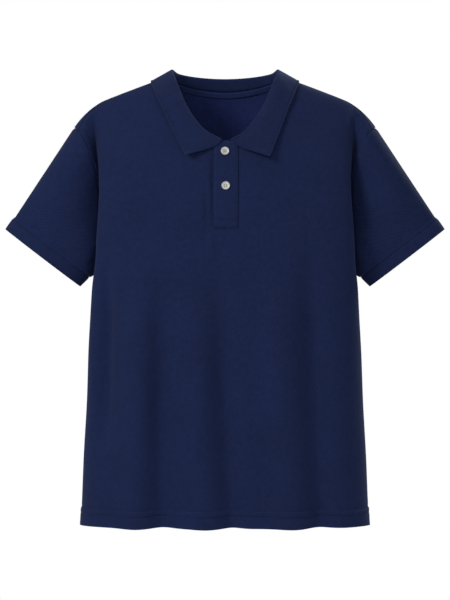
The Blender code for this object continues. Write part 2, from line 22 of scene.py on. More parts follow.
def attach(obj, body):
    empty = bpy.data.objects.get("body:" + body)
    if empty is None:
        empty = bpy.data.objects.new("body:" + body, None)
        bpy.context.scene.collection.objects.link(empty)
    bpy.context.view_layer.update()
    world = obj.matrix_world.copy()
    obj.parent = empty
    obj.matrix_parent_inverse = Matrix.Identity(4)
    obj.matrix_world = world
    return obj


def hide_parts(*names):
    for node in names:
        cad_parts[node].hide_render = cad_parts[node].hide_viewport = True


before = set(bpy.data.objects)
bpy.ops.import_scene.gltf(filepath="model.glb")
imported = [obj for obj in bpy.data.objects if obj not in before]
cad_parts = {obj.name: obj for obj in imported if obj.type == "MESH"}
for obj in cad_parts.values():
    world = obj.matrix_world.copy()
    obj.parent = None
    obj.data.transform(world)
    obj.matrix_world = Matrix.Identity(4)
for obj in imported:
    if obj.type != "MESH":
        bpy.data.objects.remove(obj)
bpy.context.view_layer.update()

LOG = logging.getLogger("polo")
MM = 0.001
SETTLING_STEPS = 4
MERGE_DISTANCE = 0.02 * MM
Rows = Sequence[Sequence[float]]
Values = float | np.ndarray


class Side(Enum):
    """The two halves of the body."""

    FRONT = -1
    BACK = 1


class Hand(Enum):
    """The wearer's right and left."""

    RIGHT = -1
    LEFT = 1


# ---------------------------------------------------------------- curves
def hermite(start: Values, leave: Values, end: Values, arrive: Values, part: Values) -> Values:
    """Point of a cubic that starts and ends with two given tangents.

    Args:
        start, leave: where it starts, and the tangent there.
        end, arrive: where it ends, and the tangent there.
        part: place along it, from 0 to 1.

    Returns:
        The point, of the same shape as the ends.
    """
    square, cube = part * part, part**3
    return (
        start * (2 * cube - 3 * square + 1)
        + leave * (cube - 2 * square + part)
        + end * (3 * square - 2 * cube)
        + arrive * (cube - square)
    )


def smooth(rows: Rows, at: np.ndarray, column: int) -> np.ndarray:
    """Values of a table's column on a smooth curve through its rows, held constant past either end.

    Args:
        rows: the table, its first column rising.
        at: places in the first column.
        column: which column to read.

    Returns:
        One value for each place.
    """
    places = np.array([row[0] for row in rows])
    values = np.array([row[column] for row in rows])
    before = np.maximum(np.arange(len(places)) - 1, 0)
    after = np.minimum(np.arange(len(places)) + 1, len(places) - 1)
    slopes = (values[after] - values[before]) / (places[after] - places[before])
    at = np.clip(at, places[0], places[-1])
    right = np.clip(np.searchsorted(places, at), 1, len(places) - 1)
    left = right - 1
    span = places[right] - places[left]
    part = (at - places[left]) / span
    return hermite(values[left], slopes[left] * span, values[right], slopes[right] * span, part)


def ease(low: float, high: float, value: Values) -> np.ndarray:
    """Zero below low, one above high, and a smooth step between."""
    part = np.clip((np.asarray(value, dtype=float) - low) / (high - low), 0.0, 1.0)
    return part * part * (3 - 2 * part)


def bump(value: Values, half: float) -> np.ndarray:
    """A bell of height one about zero."""
    return np.exp(-((np.asarray(value) / half) ** 2))


def stack(x: Values, y: Values, z: Values) -> np.ndarray:
    """Points from their three coordinates, which may be arrays or plain numbers."""
    return np.stack(np.broadcast_arrays(x, y, z), axis=-1).astype(float)


def unit(vectors: np.ndarray) -> np.ndarray:
    """Vectors scaled to length one."""
    return vectors / np.maximum(np.linalg.norm(vectors, axis=-1, keepdims=True), 1e-9)


def turned_with(vectors: np.ndarray, others: Values) -> np.ndarray:
    """Vectors, each turned round if it points against its other."""
    agreement = (vectors * others).sum(axis=-1, keepdims=True)
    return vectors * np.where(agreement < 0, -1.0, 1.0)


def lengths_along(run: np.ndarray) -> np.ndarray:
    """Distances along a run of points, from its start."""
    steps = np.linalg.norm(np.diff(run, axis=0), axis=-1)
    return np.concatenate([[0.0], np.cumsum(steps)])


# ---------------------------------------------------------------- the body's form
@dataclass(frozen=True)
class Fold:
    """A hanging fold: a long ridge, or a trough if it stands in.

    Attributes:
        top_x, hem_x: where it starts and where it meets the hem.
        top_z: height at which it starts.
        half: half its width.
        stands: how far it stands out at the hem.
        fade: how far below its top it reaches that.
    """

    top_x: float
    hem_x: float
    top_z: float
    half: float
    stands: float
    fade: float = 250.0


@dataclass(frozen=True)
class Crease:
    """A short soft line in the cloth: a ridge, or a trough if it stands in.

    Attributes:
        start, end: x and z of its ends.
        half: half its width.
        stands: how far it stands out at its middle.
    """

    start: tuple
    end: tuple
    half: float
    stands: float

    def offset(self, x: np.ndarray, z: np.ndarray) -> np.ndarray:
        """How far it pushes the face out at each place."""
        line = np.array(self.end) - np.array(self.start)
        length = float(np.hypot(*line))
        along = ((x - self.start[0]) * line[0] + (z - self.start[1]) * line[1]) / length**2
        aside = ((x - self.start[0]) * line[1] - (z - self.start[1]) * line[0]) / length
        part = np.clip(along, 0.0, 1.0)
        return self.stands * np.sin(math.pi * part) ** 0.7 * bump(aside, self.half)


@dataclass(frozen=True)
class BodyForm:
    """The filled-out body of the shirt, in millimetres.

    Attributes:
        hem_z, chest_z: the hem, and the armpit level where the shoulders start to round.
        neck_half, neck_round, neck_drop: high shoulder points from the middle, and the neckline's form.
        fold_x, shoulder_tip_z: reference x of a panel's turn to the side, and the sleeve head's height.
        shoulder_round: roundness of the profile from chest to ridge; a circle has 2.
        seam_at_fold, seam_at_sleeve: where along the profile the shoulder seam runs; 1 is the ridge.
        ridge_top, ridge_slope, ridge_blunt: the shoulder ridge, a blunted slope.
        ridge_bend_x, ridge_bend: where the ridge starts to bend down, and how fast.
        steep, shallow: the sleeve head's direction, out and down.
        row_crowding: how much rows crowd below the neckline.
        turn_rows: height, half width where a panel turns to the side, that turn's distance from the middle.
        depth_rows: height, front depth, back depth, roundness of the level section.
        side_rows: height, side seam from the middle.
        armhole_rows: place from armpit to shoulder tip, seam from the middle, forward, backward.
    """

    hem_z: float = -716.0
    chest_z: float = -304.0
    neck_half: float = 88.0
    neck_round: float = 1.7
    fold_x: float = 206.0
    shoulder_tip_z: float = -82.0
    neck_drop: dict = field(default_factory=lambda: {Side.FRONT: 111.0, Side.BACK: 22.0})
    shoulder_round: dict = field(default_factory=lambda: {Side.FRONT: 1.8, Side.BACK: 2.4})
    seam_at_fold: float = 0.95
    seam_at_sleeve: float = 0.85
    ridge_top: float = 43.67
    ridge_slope: float = 0.41
    ridge_blunt: float = 60.0
    ridge_bend_x: float = 190.0
    ridge_bend: float = 0.0094
    steep: float = 0.83
    shallow: float = 0.56
    row_crowding: float = 5.0
    turn_rows: Rows = (
        (-716.0, 231.0, 12.0),
        (-520.0, 220.0, 16.0),
        (-400.0, 214.0, 28.0),
        (-340.0, 210.5, 38.0),
        (-304.0, 206.0, 45.0),
        (-255.0, 203.0, 55.0),
        (-204.0, 200.0, 60.0),
        (-160.0, 199.0, 60.0),
        (-119.0, 202.0, 56.0),
        (-87.0, 204.0, 54.0),
        (-42.0, 205.0, 54.0),
    )
    depth_rows: Rows = (
        (-716.0, 98.0, 92.0, 2.3),
        (-600.0, 100.0, 94.0, 2.35),
        (-450.0, 103.0, 96.0, 2.45),
        (-304.0, 105.0, 98.0, 2.5),
    )
    side_rows: Rows = (
        (-716.0, 231.0),
        (-520.0, 220.0),
        (-420.0, 213.0),
        (-360.0, 206.0),
        (-325.0, 199.0),
        (-304.0, 190.0),
    )
    armhole_rows: Rows = (
        (0.0, 190.0, 0.0, 0.0),
        (0.12, 195.5, 12.0, 14.0),
        (0.25, 199.5, 18.0, 26.0),
        (0.38, 201.0, 22.0, 36.0),
        (0.5, 205.0, 31.0, 44.0),
        (0.62, 215.0, 42.0, 46.0),
        (0.74, 225.0, 41.0, 42.0),
        (0.84, 233.0, 31.0, 31.0),
        (0.92, 238.5, 17.0, 17.0),
        (1.0, 241.0, 0.0, 0.0),
    )
    folds: dict = field(
        default_factory=lambda: {
            Side.FRONT: (
                Fold(-131.0, -143.0, -225.0, 26.0, 11.0),
                Fold(-100.0, -96.0, -270.0, 19.0, -12.0),
                Fold(-54.0, -32.0, -290.0, 26.0, 9.0),
                Fold(-14.0, 12.0, -240.0, 18.0, -11.0),
                Fold(70.0, 108.0, -210.0, 30.0, 10.0),
                Fold(128.0, 147.0, -190.0, 19.0, -11.0),
                Fold(185.0, 190.0, -300.0, 22.0, 3.0),
            ),
            Side.BACK: (
                Fold(-150.0, -160.0, -260.0, 24.0, 9.0),
                Fold(-95.0, -80.0, -300.0, 18.0, -9.0),
                Fold(-30.0, -22.0, -240.0, 26.0, 8.0),
                Fold(38.0, 50.0, -290.0, 18.0, -9.0),
                Fold(105.0, 120.0, -230.0, 28.0, 9.0),
            ),
        }
    )

    def ridge_z(self, x: np.ndarray) -> np.ndarray:
        """Height of the shoulder ridge, carried on across the neck."""
        bent = self.ridge_bend * np.maximum(0.0, np.abs(x) - self.ridge_bend_x) ** 2
        return self.ridge_top - self.ridge_slope * np.hypot(x, self.ridge_blunt) - bent

    def neckline_z(self, side: Side, x: np.ndarray) -> np.ndarray:
        """Height of the neckline."""
        share = np.maximum(0.0, 1 - np.abs(x / self.neck_half) ** self.neck_round)
        return -self.neck_drop[side] * share ** (1 / self.neck_round)

    def fold_offset(self, side: Side, x: np.ndarray, z: np.ndarray) -> np.ndarray:
        """How far the hanging folds push the face out."""
        total = np.zeros(np.broadcast(x, z).shape)
        for fold in self.folds[side]:
            below = fold.top_z - z
            path_x = fold.top_x + (fold.hem_x - fold.top_x) * below / (fold.top_z - self.hem_z)
            total += fold.stands * ease(0.0, fold.fade, below) * bump(x - path_x, fold.half)
        return total

    def section_depth(self, side: Side, x: np.ndarray, z: np.ndarray) -> np.ndarray:
        """Distance of the face from the middle plane, for the level section at each height."""
        turn_x, turn_y = smooth(self.turn_rows, z, 1), smooth(self.turn_rows, z, 2)
        deepest = smooth(self.depth_rows, z, 1 if side is Side.FRONT else 2)
        power = smooth(self.depth_rows, z, 3)
        share = np.maximum(0.0, 1 - np.minimum(1.0, np.abs(x) / turn_x) ** power) ** (1 / power)
        folds = self.fold_offset(side, x, z) * np.minimum(1.0, 2 * share)
        return turn_y + (deepest - turn_y) * share + folds

    def column_x(self, reference: np.ndarray, z: np.ndarray) -> np.ndarray:
        """A column's x at a height: straight within the neck's width, spread with the sides beyond it."""
        spread = (smooth(self.turn_rows, z, 1) - self.neck_half) / (self.fold_x - self.neck_half)
        beyond = np.sign(reference) * (self.neck_half + (np.abs(reference) - self.neck_half) * spread)
        return np.where(np.abs(reference) <= self.neck_half, reference, beyond)

    def crest_angle(self, side: Side, x: np.ndarray) -> np.ndarray:
        """Angle of the rounded profile at which the panel ends: a right angle at the ridge."""
        share = (self.neckline_z(side, x) - self.chest_z) / (self.ridge_z(x) - self.chest_z)
        inner = np.arcsin(np.clip(share, 0.0, 1.0) ** (self.shoulder_round[side] / 2))
        return np.where(np.abs(x) >= self.neck_half, math.pi / 2, inner)

    def wall_point(self, side: Side, reference: np.ndarray, z: np.ndarray) -> np.ndarray:
        """Points of the face below the chest."""
        x = self.column_x(reference, z)
        return stack(x, side.value * self.section_depth(side, x, z), z)

    def shoulder_point(self, side: Side, reference: np.ndarray, rise: np.ndarray) -> np.ndarray:
        """Points of the face above the chest; rise is 0 at the chest and 1 at the neckline or the ridge."""
        power = 2 / self.shoulder_round[side]
        x, z = np.asarray(reference, dtype=float), np.full(np.shape(rise), self.chest_z)
        for _ in range(SETTLING_STEPS):
            short = math.pi / 2 - self.crest_angle(side, x)
            late = 1 + self.row_crowding * (1 - 2 * short / math.pi) ** 4
            angle = rise * math.pi / 2 - short * rise**late
            z = self.chest_z + (self.ridge_z(x) - self.chest_z) * np.sin(angle) ** power
            x = self.column_x(reference, z)
        depth = self.section_depth(side, x, z) * np.maximum(0.0, np.cos(angle)) ** power
        return stack(x, side.value * depth, z)

    def face_point(self, side: Side, x: np.ndarray, z: np.ndarray) -> np.ndarray:
        """Points of the face above the chest at given x and height."""
        power = self.shoulder_round[side]
        share = np.minimum(1.0, (z - self.chest_z) / (self.ridge_z(x) - self.chest_z))
        depth = self.section_depth(side, x, z) * (1 - share**power) ** (1 / power)
        return stack(x, side.value * depth, z)

    def armhole_point(self, side: Side, hand: Hand, rise: np.ndarray) -> np.ndarray:
        """Points of the armhole seam, from the armpit to the shoulder tip."""
        y = side.value * smooth(self.armhole_rows, rise, 2 if side is Side.FRONT else 3)
        z = self.chest_z + (self.shoulder_tip_z - self.chest_z) * np.sin(rise * math.pi / 2)
        return stack(hand.value * smooth(self.armhole_rows, rise, 1), y, z)

    def strip_point(
        self, side: Side, turn: np.ndarray, seam: np.ndarray, rise: Values, step: Values
    ) -> np.ndarray:
        """Points of the strip that runs from a panel's turn to its side seam or armhole.

        Args:
            side: which half the strip belongs to.
            turn, seam: its two ends, one row for each height.
            rise: 0 below the chest and up to 1 at the shoulder.
            step: place along the strip, from 0 to 1.

        Returns:
            One point for each height and step.
        """
        length = np.linalg.norm(seam - turn, axis=-1, keepdims=True)
        hand = np.sign(turn[..., :1])
        rise = np.asarray(rise, dtype=float)[..., None]
        outward, down = hand * np.array([1.0, 0.0, 0.0]), np.array([0.0, 0.0, -1.0])
        inward = np.array([0.0, -side.value, 0.0])
        across = (seam - turn) / length
        at_head, off_side = ease(0.8, 1.0, rise), ease(0.3, 0.6, rise)
        over_head = (outward * self.steep + down * self.shallow) * at_head
        leave = inward * np.cos(rise * math.pi / 2) + over_head
        arrive = inward * (1 - off_side) + across * off_side
        arrive = arrive * (1 - at_head) + (outward * self.shallow + down * self.steep) * at_head
        return hermite(turn, leave * length, seam, arrive * length, np.asarray(step)[..., None])

    def seam_rise(self, reference: np.ndarray, step: np.ndarray) -> np.ndarray:
        """Rise at which the front panel ends, for columns and steps along their strip."""
        share = np.clip((np.abs(reference) - self.neck_half) / (self.fold_x - self.neck_half), 0.0, 1.0)
        at_fold = 1 - (1 - self.seam_at_fold) * share**2
        return at_fold + (self.seam_at_sleeve - self.seam_at_fold) * step

    def outside(self, points: np.ndarray) -> tuple[np.ndarray, np.ndarray]:
        """How far points above the chest stand outside the face, and the directions away from it."""

        def level(at: np.ndarray) -> np.ndarray:
            """Zero on the face, above zero outside it and below zero inside."""
            x, y, z = at[..., 0], at[..., 1], at[..., 2]
            total = np.zeros(x.shape)
            for side in Side:
                power = self.shoulder_round[side]
                depth = np.abs(y) / self.section_depth(side, x, z)
                rise = np.maximum(0.0, z - self.chest_z) / (self.ridge_z(x) - self.chest_z)
                here = (y < 0) == (side is Side.FRONT)
                total += np.where(here, depth**power + rise**power - 1, 0.0)
            return total

        step = 0.2  # millimetres to either side, for the slope
        slopes = [(level(points + axis) - level(points - axis)) / (2 * step) for axis in np.eye(3) * step]
        slope = np.stack(slopes, axis=-1)
        size = np.linalg.norm(slope, axis=-1)
        return level(points) / size, slope / size[..., None]

    def at_distance(self, points: np.ndarray, distance: Values) -> np.ndarray:
        """Points moved to stand this far outside the face; a negative distance is inside it."""
        for _ in range(SETTLING_STEPS):
            stands, away = self.outside(points)
            points = points + away * (distance - stands)[..., None]
        return points

    def lifted(self, points: np.ndarray, clearance: np.ndarray) -> np.ndarray:
        """Points, moved away from the body where they stand nearer than the clearance."""
        near = self.outside(points)[0] < clearance
        return np.where(near[..., None], self.at_distance(points, clearance), points)


FORM = BodyForm()


# ---------------------------------------------------------------- meshes
def grid_mesh(points: np.ndarray, uv: np.ndarray) -> bmesh.types.BMesh:
    """A sheet of quads through a grid of points in millimetres.

    Args:
        points: array of columns by rows by 3.
        uv: array of columns by rows by 2, distances over the cloth in millimetres.

    Returns:
        The sheet, in metres, with a UV map in metres.
    """
    columns, rows = points.shape[:2]
    sheet = bmesh.new()
    bmesh.ops.create_grid(sheet, x_segments=columns - 1, y_segments=rows - 1, size=1.0)
    layer = sheet.loops.layers.uv.new("cloth")
    place = {}
    for vertex in sheet.verts:
        i = round((vertex.co.x + 1) * (columns - 1) / 2)
        j = round((vertex.co.y + 1) * (rows - 1) / 2)
        place[vertex] = uv[i, j] * MM
        vertex.co = points[i, j] * MM
    for face in sheet.faces:
        for loop in face.loops:
            loop[layer].uv = place[loop.vert]
    return sheet


def cloth_distances(points: np.ndarray, origin: int) -> np.ndarray:
    """Distances over a grid of points, along its rows from a given column and up its columns.

    Args:
        points: array of columns by rows by 3.
        origin: the column from which the first distance is measured.

    Returns:
        Array of columns by rows by 2.
    """
    across = np.cumsum(np.linalg.norm(np.diff(points, axis=0, prepend=points[:1]), axis=-1), axis=0)
    up = np.cumsum(np.linalg.norm(np.diff(points, axis=1, prepend=points[:, :1]), axis=-1), axis=1)
    return np.stack([across - across[origin], up], axis=-1)


def grid_normals(points: np.ndarray) -> np.ndarray:
    """Directions away from the sheet on the side where columns run left to right and rows up."""
    along = np.gradient(points, axis=0)
    up = np.gradient(points, axis=1)
    return unit(np.cross(along, up))


def make_object(name: str, shape: bmesh.types.BMesh, material: bpy.types.Material) -> bpy.types.Object:
    """An object at the origin from a mesh in metres."""
    mesh = bpy.data.meshes.new(name)
    shape.to_mesh(mesh)
    shape.free()
    mesh.materials.append(material)
    mesh.shade_smooth()
    thing = bpy.data.objects.new(name, mesh)
    bpy.context.scene.collection.objects.link(thing)
    return thing


def face_outwards(sheet: bmesh.types.BMesh, outward: Callable[[Vector], Vector]) -> None:
    """Turns an open sheet so that its faces agree with a direction given for each place."""
    bmesh.ops.recalc_face_normals(sheet, faces=sheet.faces[:])
    agreement = sum(face.normal.dot(outward(face.calc_center_median())) for face in sheet.faces)
    if agreement < 0:
        bmesh.ops.reverse_faces(sheet, faces=sheet.faces[:])


def add_wall(
    thing: bpy.types.Object,
    thickness: float,
    offset: float = -1.0,
    reverse: bpy.types.Material | None = None,
) -> None:
    """Gives a sheet its thickness in millimetres.

    Args:
        thing: the sheet's object.
        thickness: of the cloth.
        offset: -1 puts the wall behind the sheet, and 0 on both its sides.
        reverse: material of the cloth's other side, if it differs.
    """
    wall = thing.modifiers.new("wall", "SOLIDIFY")
    wall.thickness = thickness * MM
    wall.offset = offset
    wall.use_even_offset = False
    wall.use_rim = True
    if reverse:
        thing.data.materials.append(reverse)
        wall.material_offset = 1


def dress(thing: bpy.types.Object, node: str = "") -> bpy.types.Object:
    """Puts a finished piece in the frame, and in place of a node if it has one."""
    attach(thing, "root")
    if node:
        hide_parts(node)
    LOG.info("%s made%s", thing.name, f" for {node}" if node else "")
    return thing


# ---------------------------------------------------------------- finishes
def linear(hex_colour: str) -> tuple[float, float, float, float]:
    """Linear RGBA of an sRGB hex colour."""
    channels = [int(hex_colour[i : i + 2], 16) / 255 for i in (1, 3, 5)]
    lit = [c / 12.92 if c <= 0.04045 else ((c + 0.055) / 1.055) ** 2.4 for c in channels]
    return (*lit, 1.0)


def add_node(
    tree: bpy.types.NodeTree, kind: str, settings: dict | None = None, inputs: dict | None = None
) -> bpy.types.Node:
    """Adds a node with its settings and inputs.

    Args:
        tree: the tree that it joins.
        kind: the node's type name.
        settings: attribute values.
        inputs: input names or numbers, each with a value or an output socket to link from.

    Returns:
        The node.
    """
    node = tree.nodes.new(kind)
    for name, value in (settings or {}).items():
        setattr(node, name, value)
    for name, value in (inputs or {}).items():
        if isinstance(value, bpy.types.NodeSocket):
            tree.links.new(value, node.inputs[name])
        else:
            node.inputs[name].default_value = value
    return node


@dataclass(frozen=True)
class Finish:
    """What every finish of the shirt has.

    Attributes:
        name: the real stuff.
        colour, shade: its sRGB colour where its relief stands up, and where it sinks: a painted shade in the
            hollows of the knits, tape and threads, and the resin's own darker clouds.
        roughness, specular, sheen, sheen_tint: shader values; cotton is matt, with a bloom of loose fibres.
        mottle: how much small cloudy patches differ in brightness.
        broad_mottle: the same for broad patches.
        spacing, depth: of the surface's pattern, in millimetres.
    """

    name: str
    colour: str
    shade: str
    roughness: float
    specular: float
    sheen: float
    sheen_tint: str = "#8c9cc4"
    mottle: float = 0.1
    broad_mottle: float = 0.05
    spacing: float = 1.0
    depth: float = 0.1

    def material(self) -> bpy.types.Material:
        """The material, with its surface worked out by the kind of finish."""
        material = bpy.data.materials.new(self.name)
        material.use_nodes = True
        tree = material.node_tree
        shader = tree.nodes["Principled BSDF"]
        shader.inputs["Roughness"].default_value = self.roughness
        shader.inputs["Specular IOR Level"].default_value = self.specular
        shader.inputs["Sheen Weight"].default_value = self.sheen
        shader.inputs["Sheen Roughness"].default_value = 0.45
        shader.inputs["Sheen Tint"].default_value = linear(self.sheen_tint)
        height = self.relief(tree)
        place = add_node(tree, "ShaderNodeTexCoord")
        shades = []
        for size, swing in ((60.0, self.broad_mottle), (7.0, self.mottle)):
            cloud = add_node(
                tree,
                "ShaderNodeTexNoise",
                inputs={"Vector": place.outputs["Object"], "Scale": 1 / (size * MM), "Detail": 3.0},
            )
            swings = {"From Min": 0.3, "From Max": 0.7, "To Min": 1 - swing, "To Max": 1 + swing}
            swings["Value"] = cloud.outputs["Fac"]
            shades.append(add_node(tree, "ShaderNodeMapRange", inputs=swings))
        worn = add_node(
            tree,
            "ShaderNodeMath",
            {"operation": "MULTIPLY"},
            {0: shades[0].outputs["Result"], 1: shades[1].outputs["Result"]},
        )
        # Painted shade: the relief's low places take the darker shade colour, as shade in the hollows of
        # knit, tape and thread; for the resin the same mix gives its own clouds.
        shade_and_cloud_tone = add_node(
            tree,
            "ShaderNodeMix",
            {"data_type": "RGBA"},
            {"Factor": height, 6: linear(self.shade), 7: linear(self.colour)},
        )
        varied = add_node(
            tree,
            "ShaderNodeVectorMath",
            {"operation": "SCALE"},
            {0: shade_and_cloud_tone.outputs[2], "Scale": worn.outputs["Value"]},
        )
        tree.links.new(varied.outputs["Vector"], shader.inputs["Base Color"])
        raised = add_node(
            tree, "ShaderNodeBump", inputs={"Height": height, "Distance": self.depth * MM, "Strength": 1.0}
        )
        tree.links.new(raised.outputs["Normal"], shader.inputs["Normal"])
        return material

    def relief(self, tree: bpy.types.NodeTree) -> bpy.types.NodeSocket:
        """The surface's height, from 0 to 1."""
        raise NotImplementedError

    @staticmethod
    def with_fibres(
        pattern: bpy.types.NodeSocket, cloth: bpy.types.NodeSocket, size: float, share: float
    ) -> bpy.types.NodeSocket:
        """A knit's pattern with loose fibres over it.

        Args:
            pattern: the pattern's height.
            cloth: places on the cloth.
            size: of the fibres' tangles, in millimetres.
            share: how much of the height is theirs.

        Returns:
            The height of both.
        """
        tree = pattern.node.id_data
        fibres = add_node(
            tree, "ShaderNodeTexNoise", inputs={"Vector": cloth, "Scale": 1 / (size * MM), "Detail": 2.0}
        )
        inputs = {"Factor": share, "A": pattern, "B": fibres.outputs["Fac"]}
        return add_node(tree, "ShaderNodeMix", {"data_type": "FLOAT"}, inputs).outputs["Result"]


@dataclass(frozen=True)
class PiqueKnit(Finish):
    """Cotton pique: a knit of small raised lozenges, matt, with a soft bloom at grazing light.

    The real lozenges are about 1.2 mm apart, and they are drawn coarser so that they show.
    """

    spacing: float = 2.6
    depth: float = 0.32

    def relief(self, tree: bpy.types.NodeTree) -> bpy.types.NodeSocket:
        """Lozenges on a lattice turned by an eighth of a turn, with loose fibres over them."""
        place = add_node(tree, "ShaderNodeUVMap", {"uv_map": "cloth"})
        turned = add_node(
            tree,
            "ShaderNodeMapping",
            inputs={"Vector": place.outputs["UV"], "Rotation": (0.0, 0.0, math.radians(45))},
        )
        lattice = add_node(
            tree,
            "ShaderNodeTexVoronoi",
            {"feature": "F1", "voronoi_dimensions": "2D"},
            {"Vector": turned.outputs["Vector"], "Scale": 1 / (self.spacing * MM), "Randomness": 0.3},
        )
        stands = add_node(
            tree,
            "ShaderNodeMapRange",
            {"interpolation_type": "SMOOTHSTEP"},
            {"Value": lattice.outputs["Distance"], "From Min": 0.62, "From Max": 0.12},
        )
        return self.with_fibres(stands.outputs["Result"], place.outputs["UV"], 0.9, 0.35)


@dataclass(frozen=True)
class FlatRib(Finish):
    """Flat-knitted rib: fine ridges from the seam to the free edge, painted lighter along their crests and
    with painted shade between them.

    The real ridges are about 1.4 mm apart, and they are drawn coarser so that they show.
    """

    spacing: float = 2.8
    depth: float = 0.45

    def relief(self, tree: bpy.types.NodeTree) -> bpy.types.NodeSocket:
        """Ridges across the piece's length, broken up by the knit's stitches."""
        place = add_node(tree, "ShaderNodeUVMap", {"uv_map": "cloth"})
        ridges = add_node(
            tree,
            "ShaderNodeTexWave",
            {"wave_type": "BANDS", "bands_direction": "X", "wave_profile": "SIN"},
            {
                "Vector": place.outputs["UV"],
                "Scale": math.pi / (10 * self.spacing * MM),
                "Distortion": 0.25,
                "Detail": 1.0,
                "Detail Scale": 3.0,
            },
        )
        return self.with_fibres(ridges.outputs["Fac"], place.outputs["UV"], 1.1, 0.3)


@dataclass(frozen=True)
class TwillTape(Finish):
    """Cotton twill tape: a close diagonal weave, smoother than the knit around it."""

    spacing: float = 1.6
    depth: float = 0.2

    def relief(self, tree: bpy.types.NodeTree) -> bpy.types.NodeSocket:
        """Diagonal wales."""
        place = add_node(tree, "ShaderNodeUVMap", {"uv_map": "cloth"})
        wales = add_node(
            tree,
            "ShaderNodeTexWave",
            {"wave_type": "BANDS", "bands_direction": "DIAGONAL", "wave_profile": "SIN"},
            {"Vector": place.outputs["UV"], "Scale": math.pi / (10 * self.spacing * MM), "Distortion": 0.1},
        )
        return wales.outputs["Fac"]


@dataclass(frozen=True)
class CoreThread(Finish):
    """Polyester sewing thread: two strands twisted together, with a slight lustre."""

    spacing: float = 0.7
    depth: float = 0.08

    def relief(self, tree: bpy.types.NodeTree) -> bpy.types.NodeSocket:
        """The twist of its strands."""
        place = add_node(tree, "ShaderNodeTexCoord")
        twist = add_node(
            tree,
            "ShaderNodeTexWave",
            {"wave_type": "BANDS", "bands_direction": "DIAGONAL", "wave_profile": "SIN"},
            {"Vector": place.outputs["Object"], "Scale": math.pi / (10 * self.spacing * MM)},
        )
        return twist.outputs["Fac"]


@dataclass(frozen=True)
class CastResin(Finish):
    """Cast polyester button resin: off-white, polished, with faint clouds inside."""

    spacing: float = 4.0
    depth: float = 0.01

    def relief(self, tree: bpy.types.NodeTree) -> bpy.types.NodeSocket:
        """Soft clouds."""
        place = add_node(tree, "ShaderNodeTexCoord")
        clouds = add_node(
            tree,
            "ShaderNodeTexNoise",
            inputs={"Vector": place.outputs["Object"], "Scale": 1 / (self.spacing * MM), "Detail": 3.0},
        )
        return clouds.outputs["Fac"]


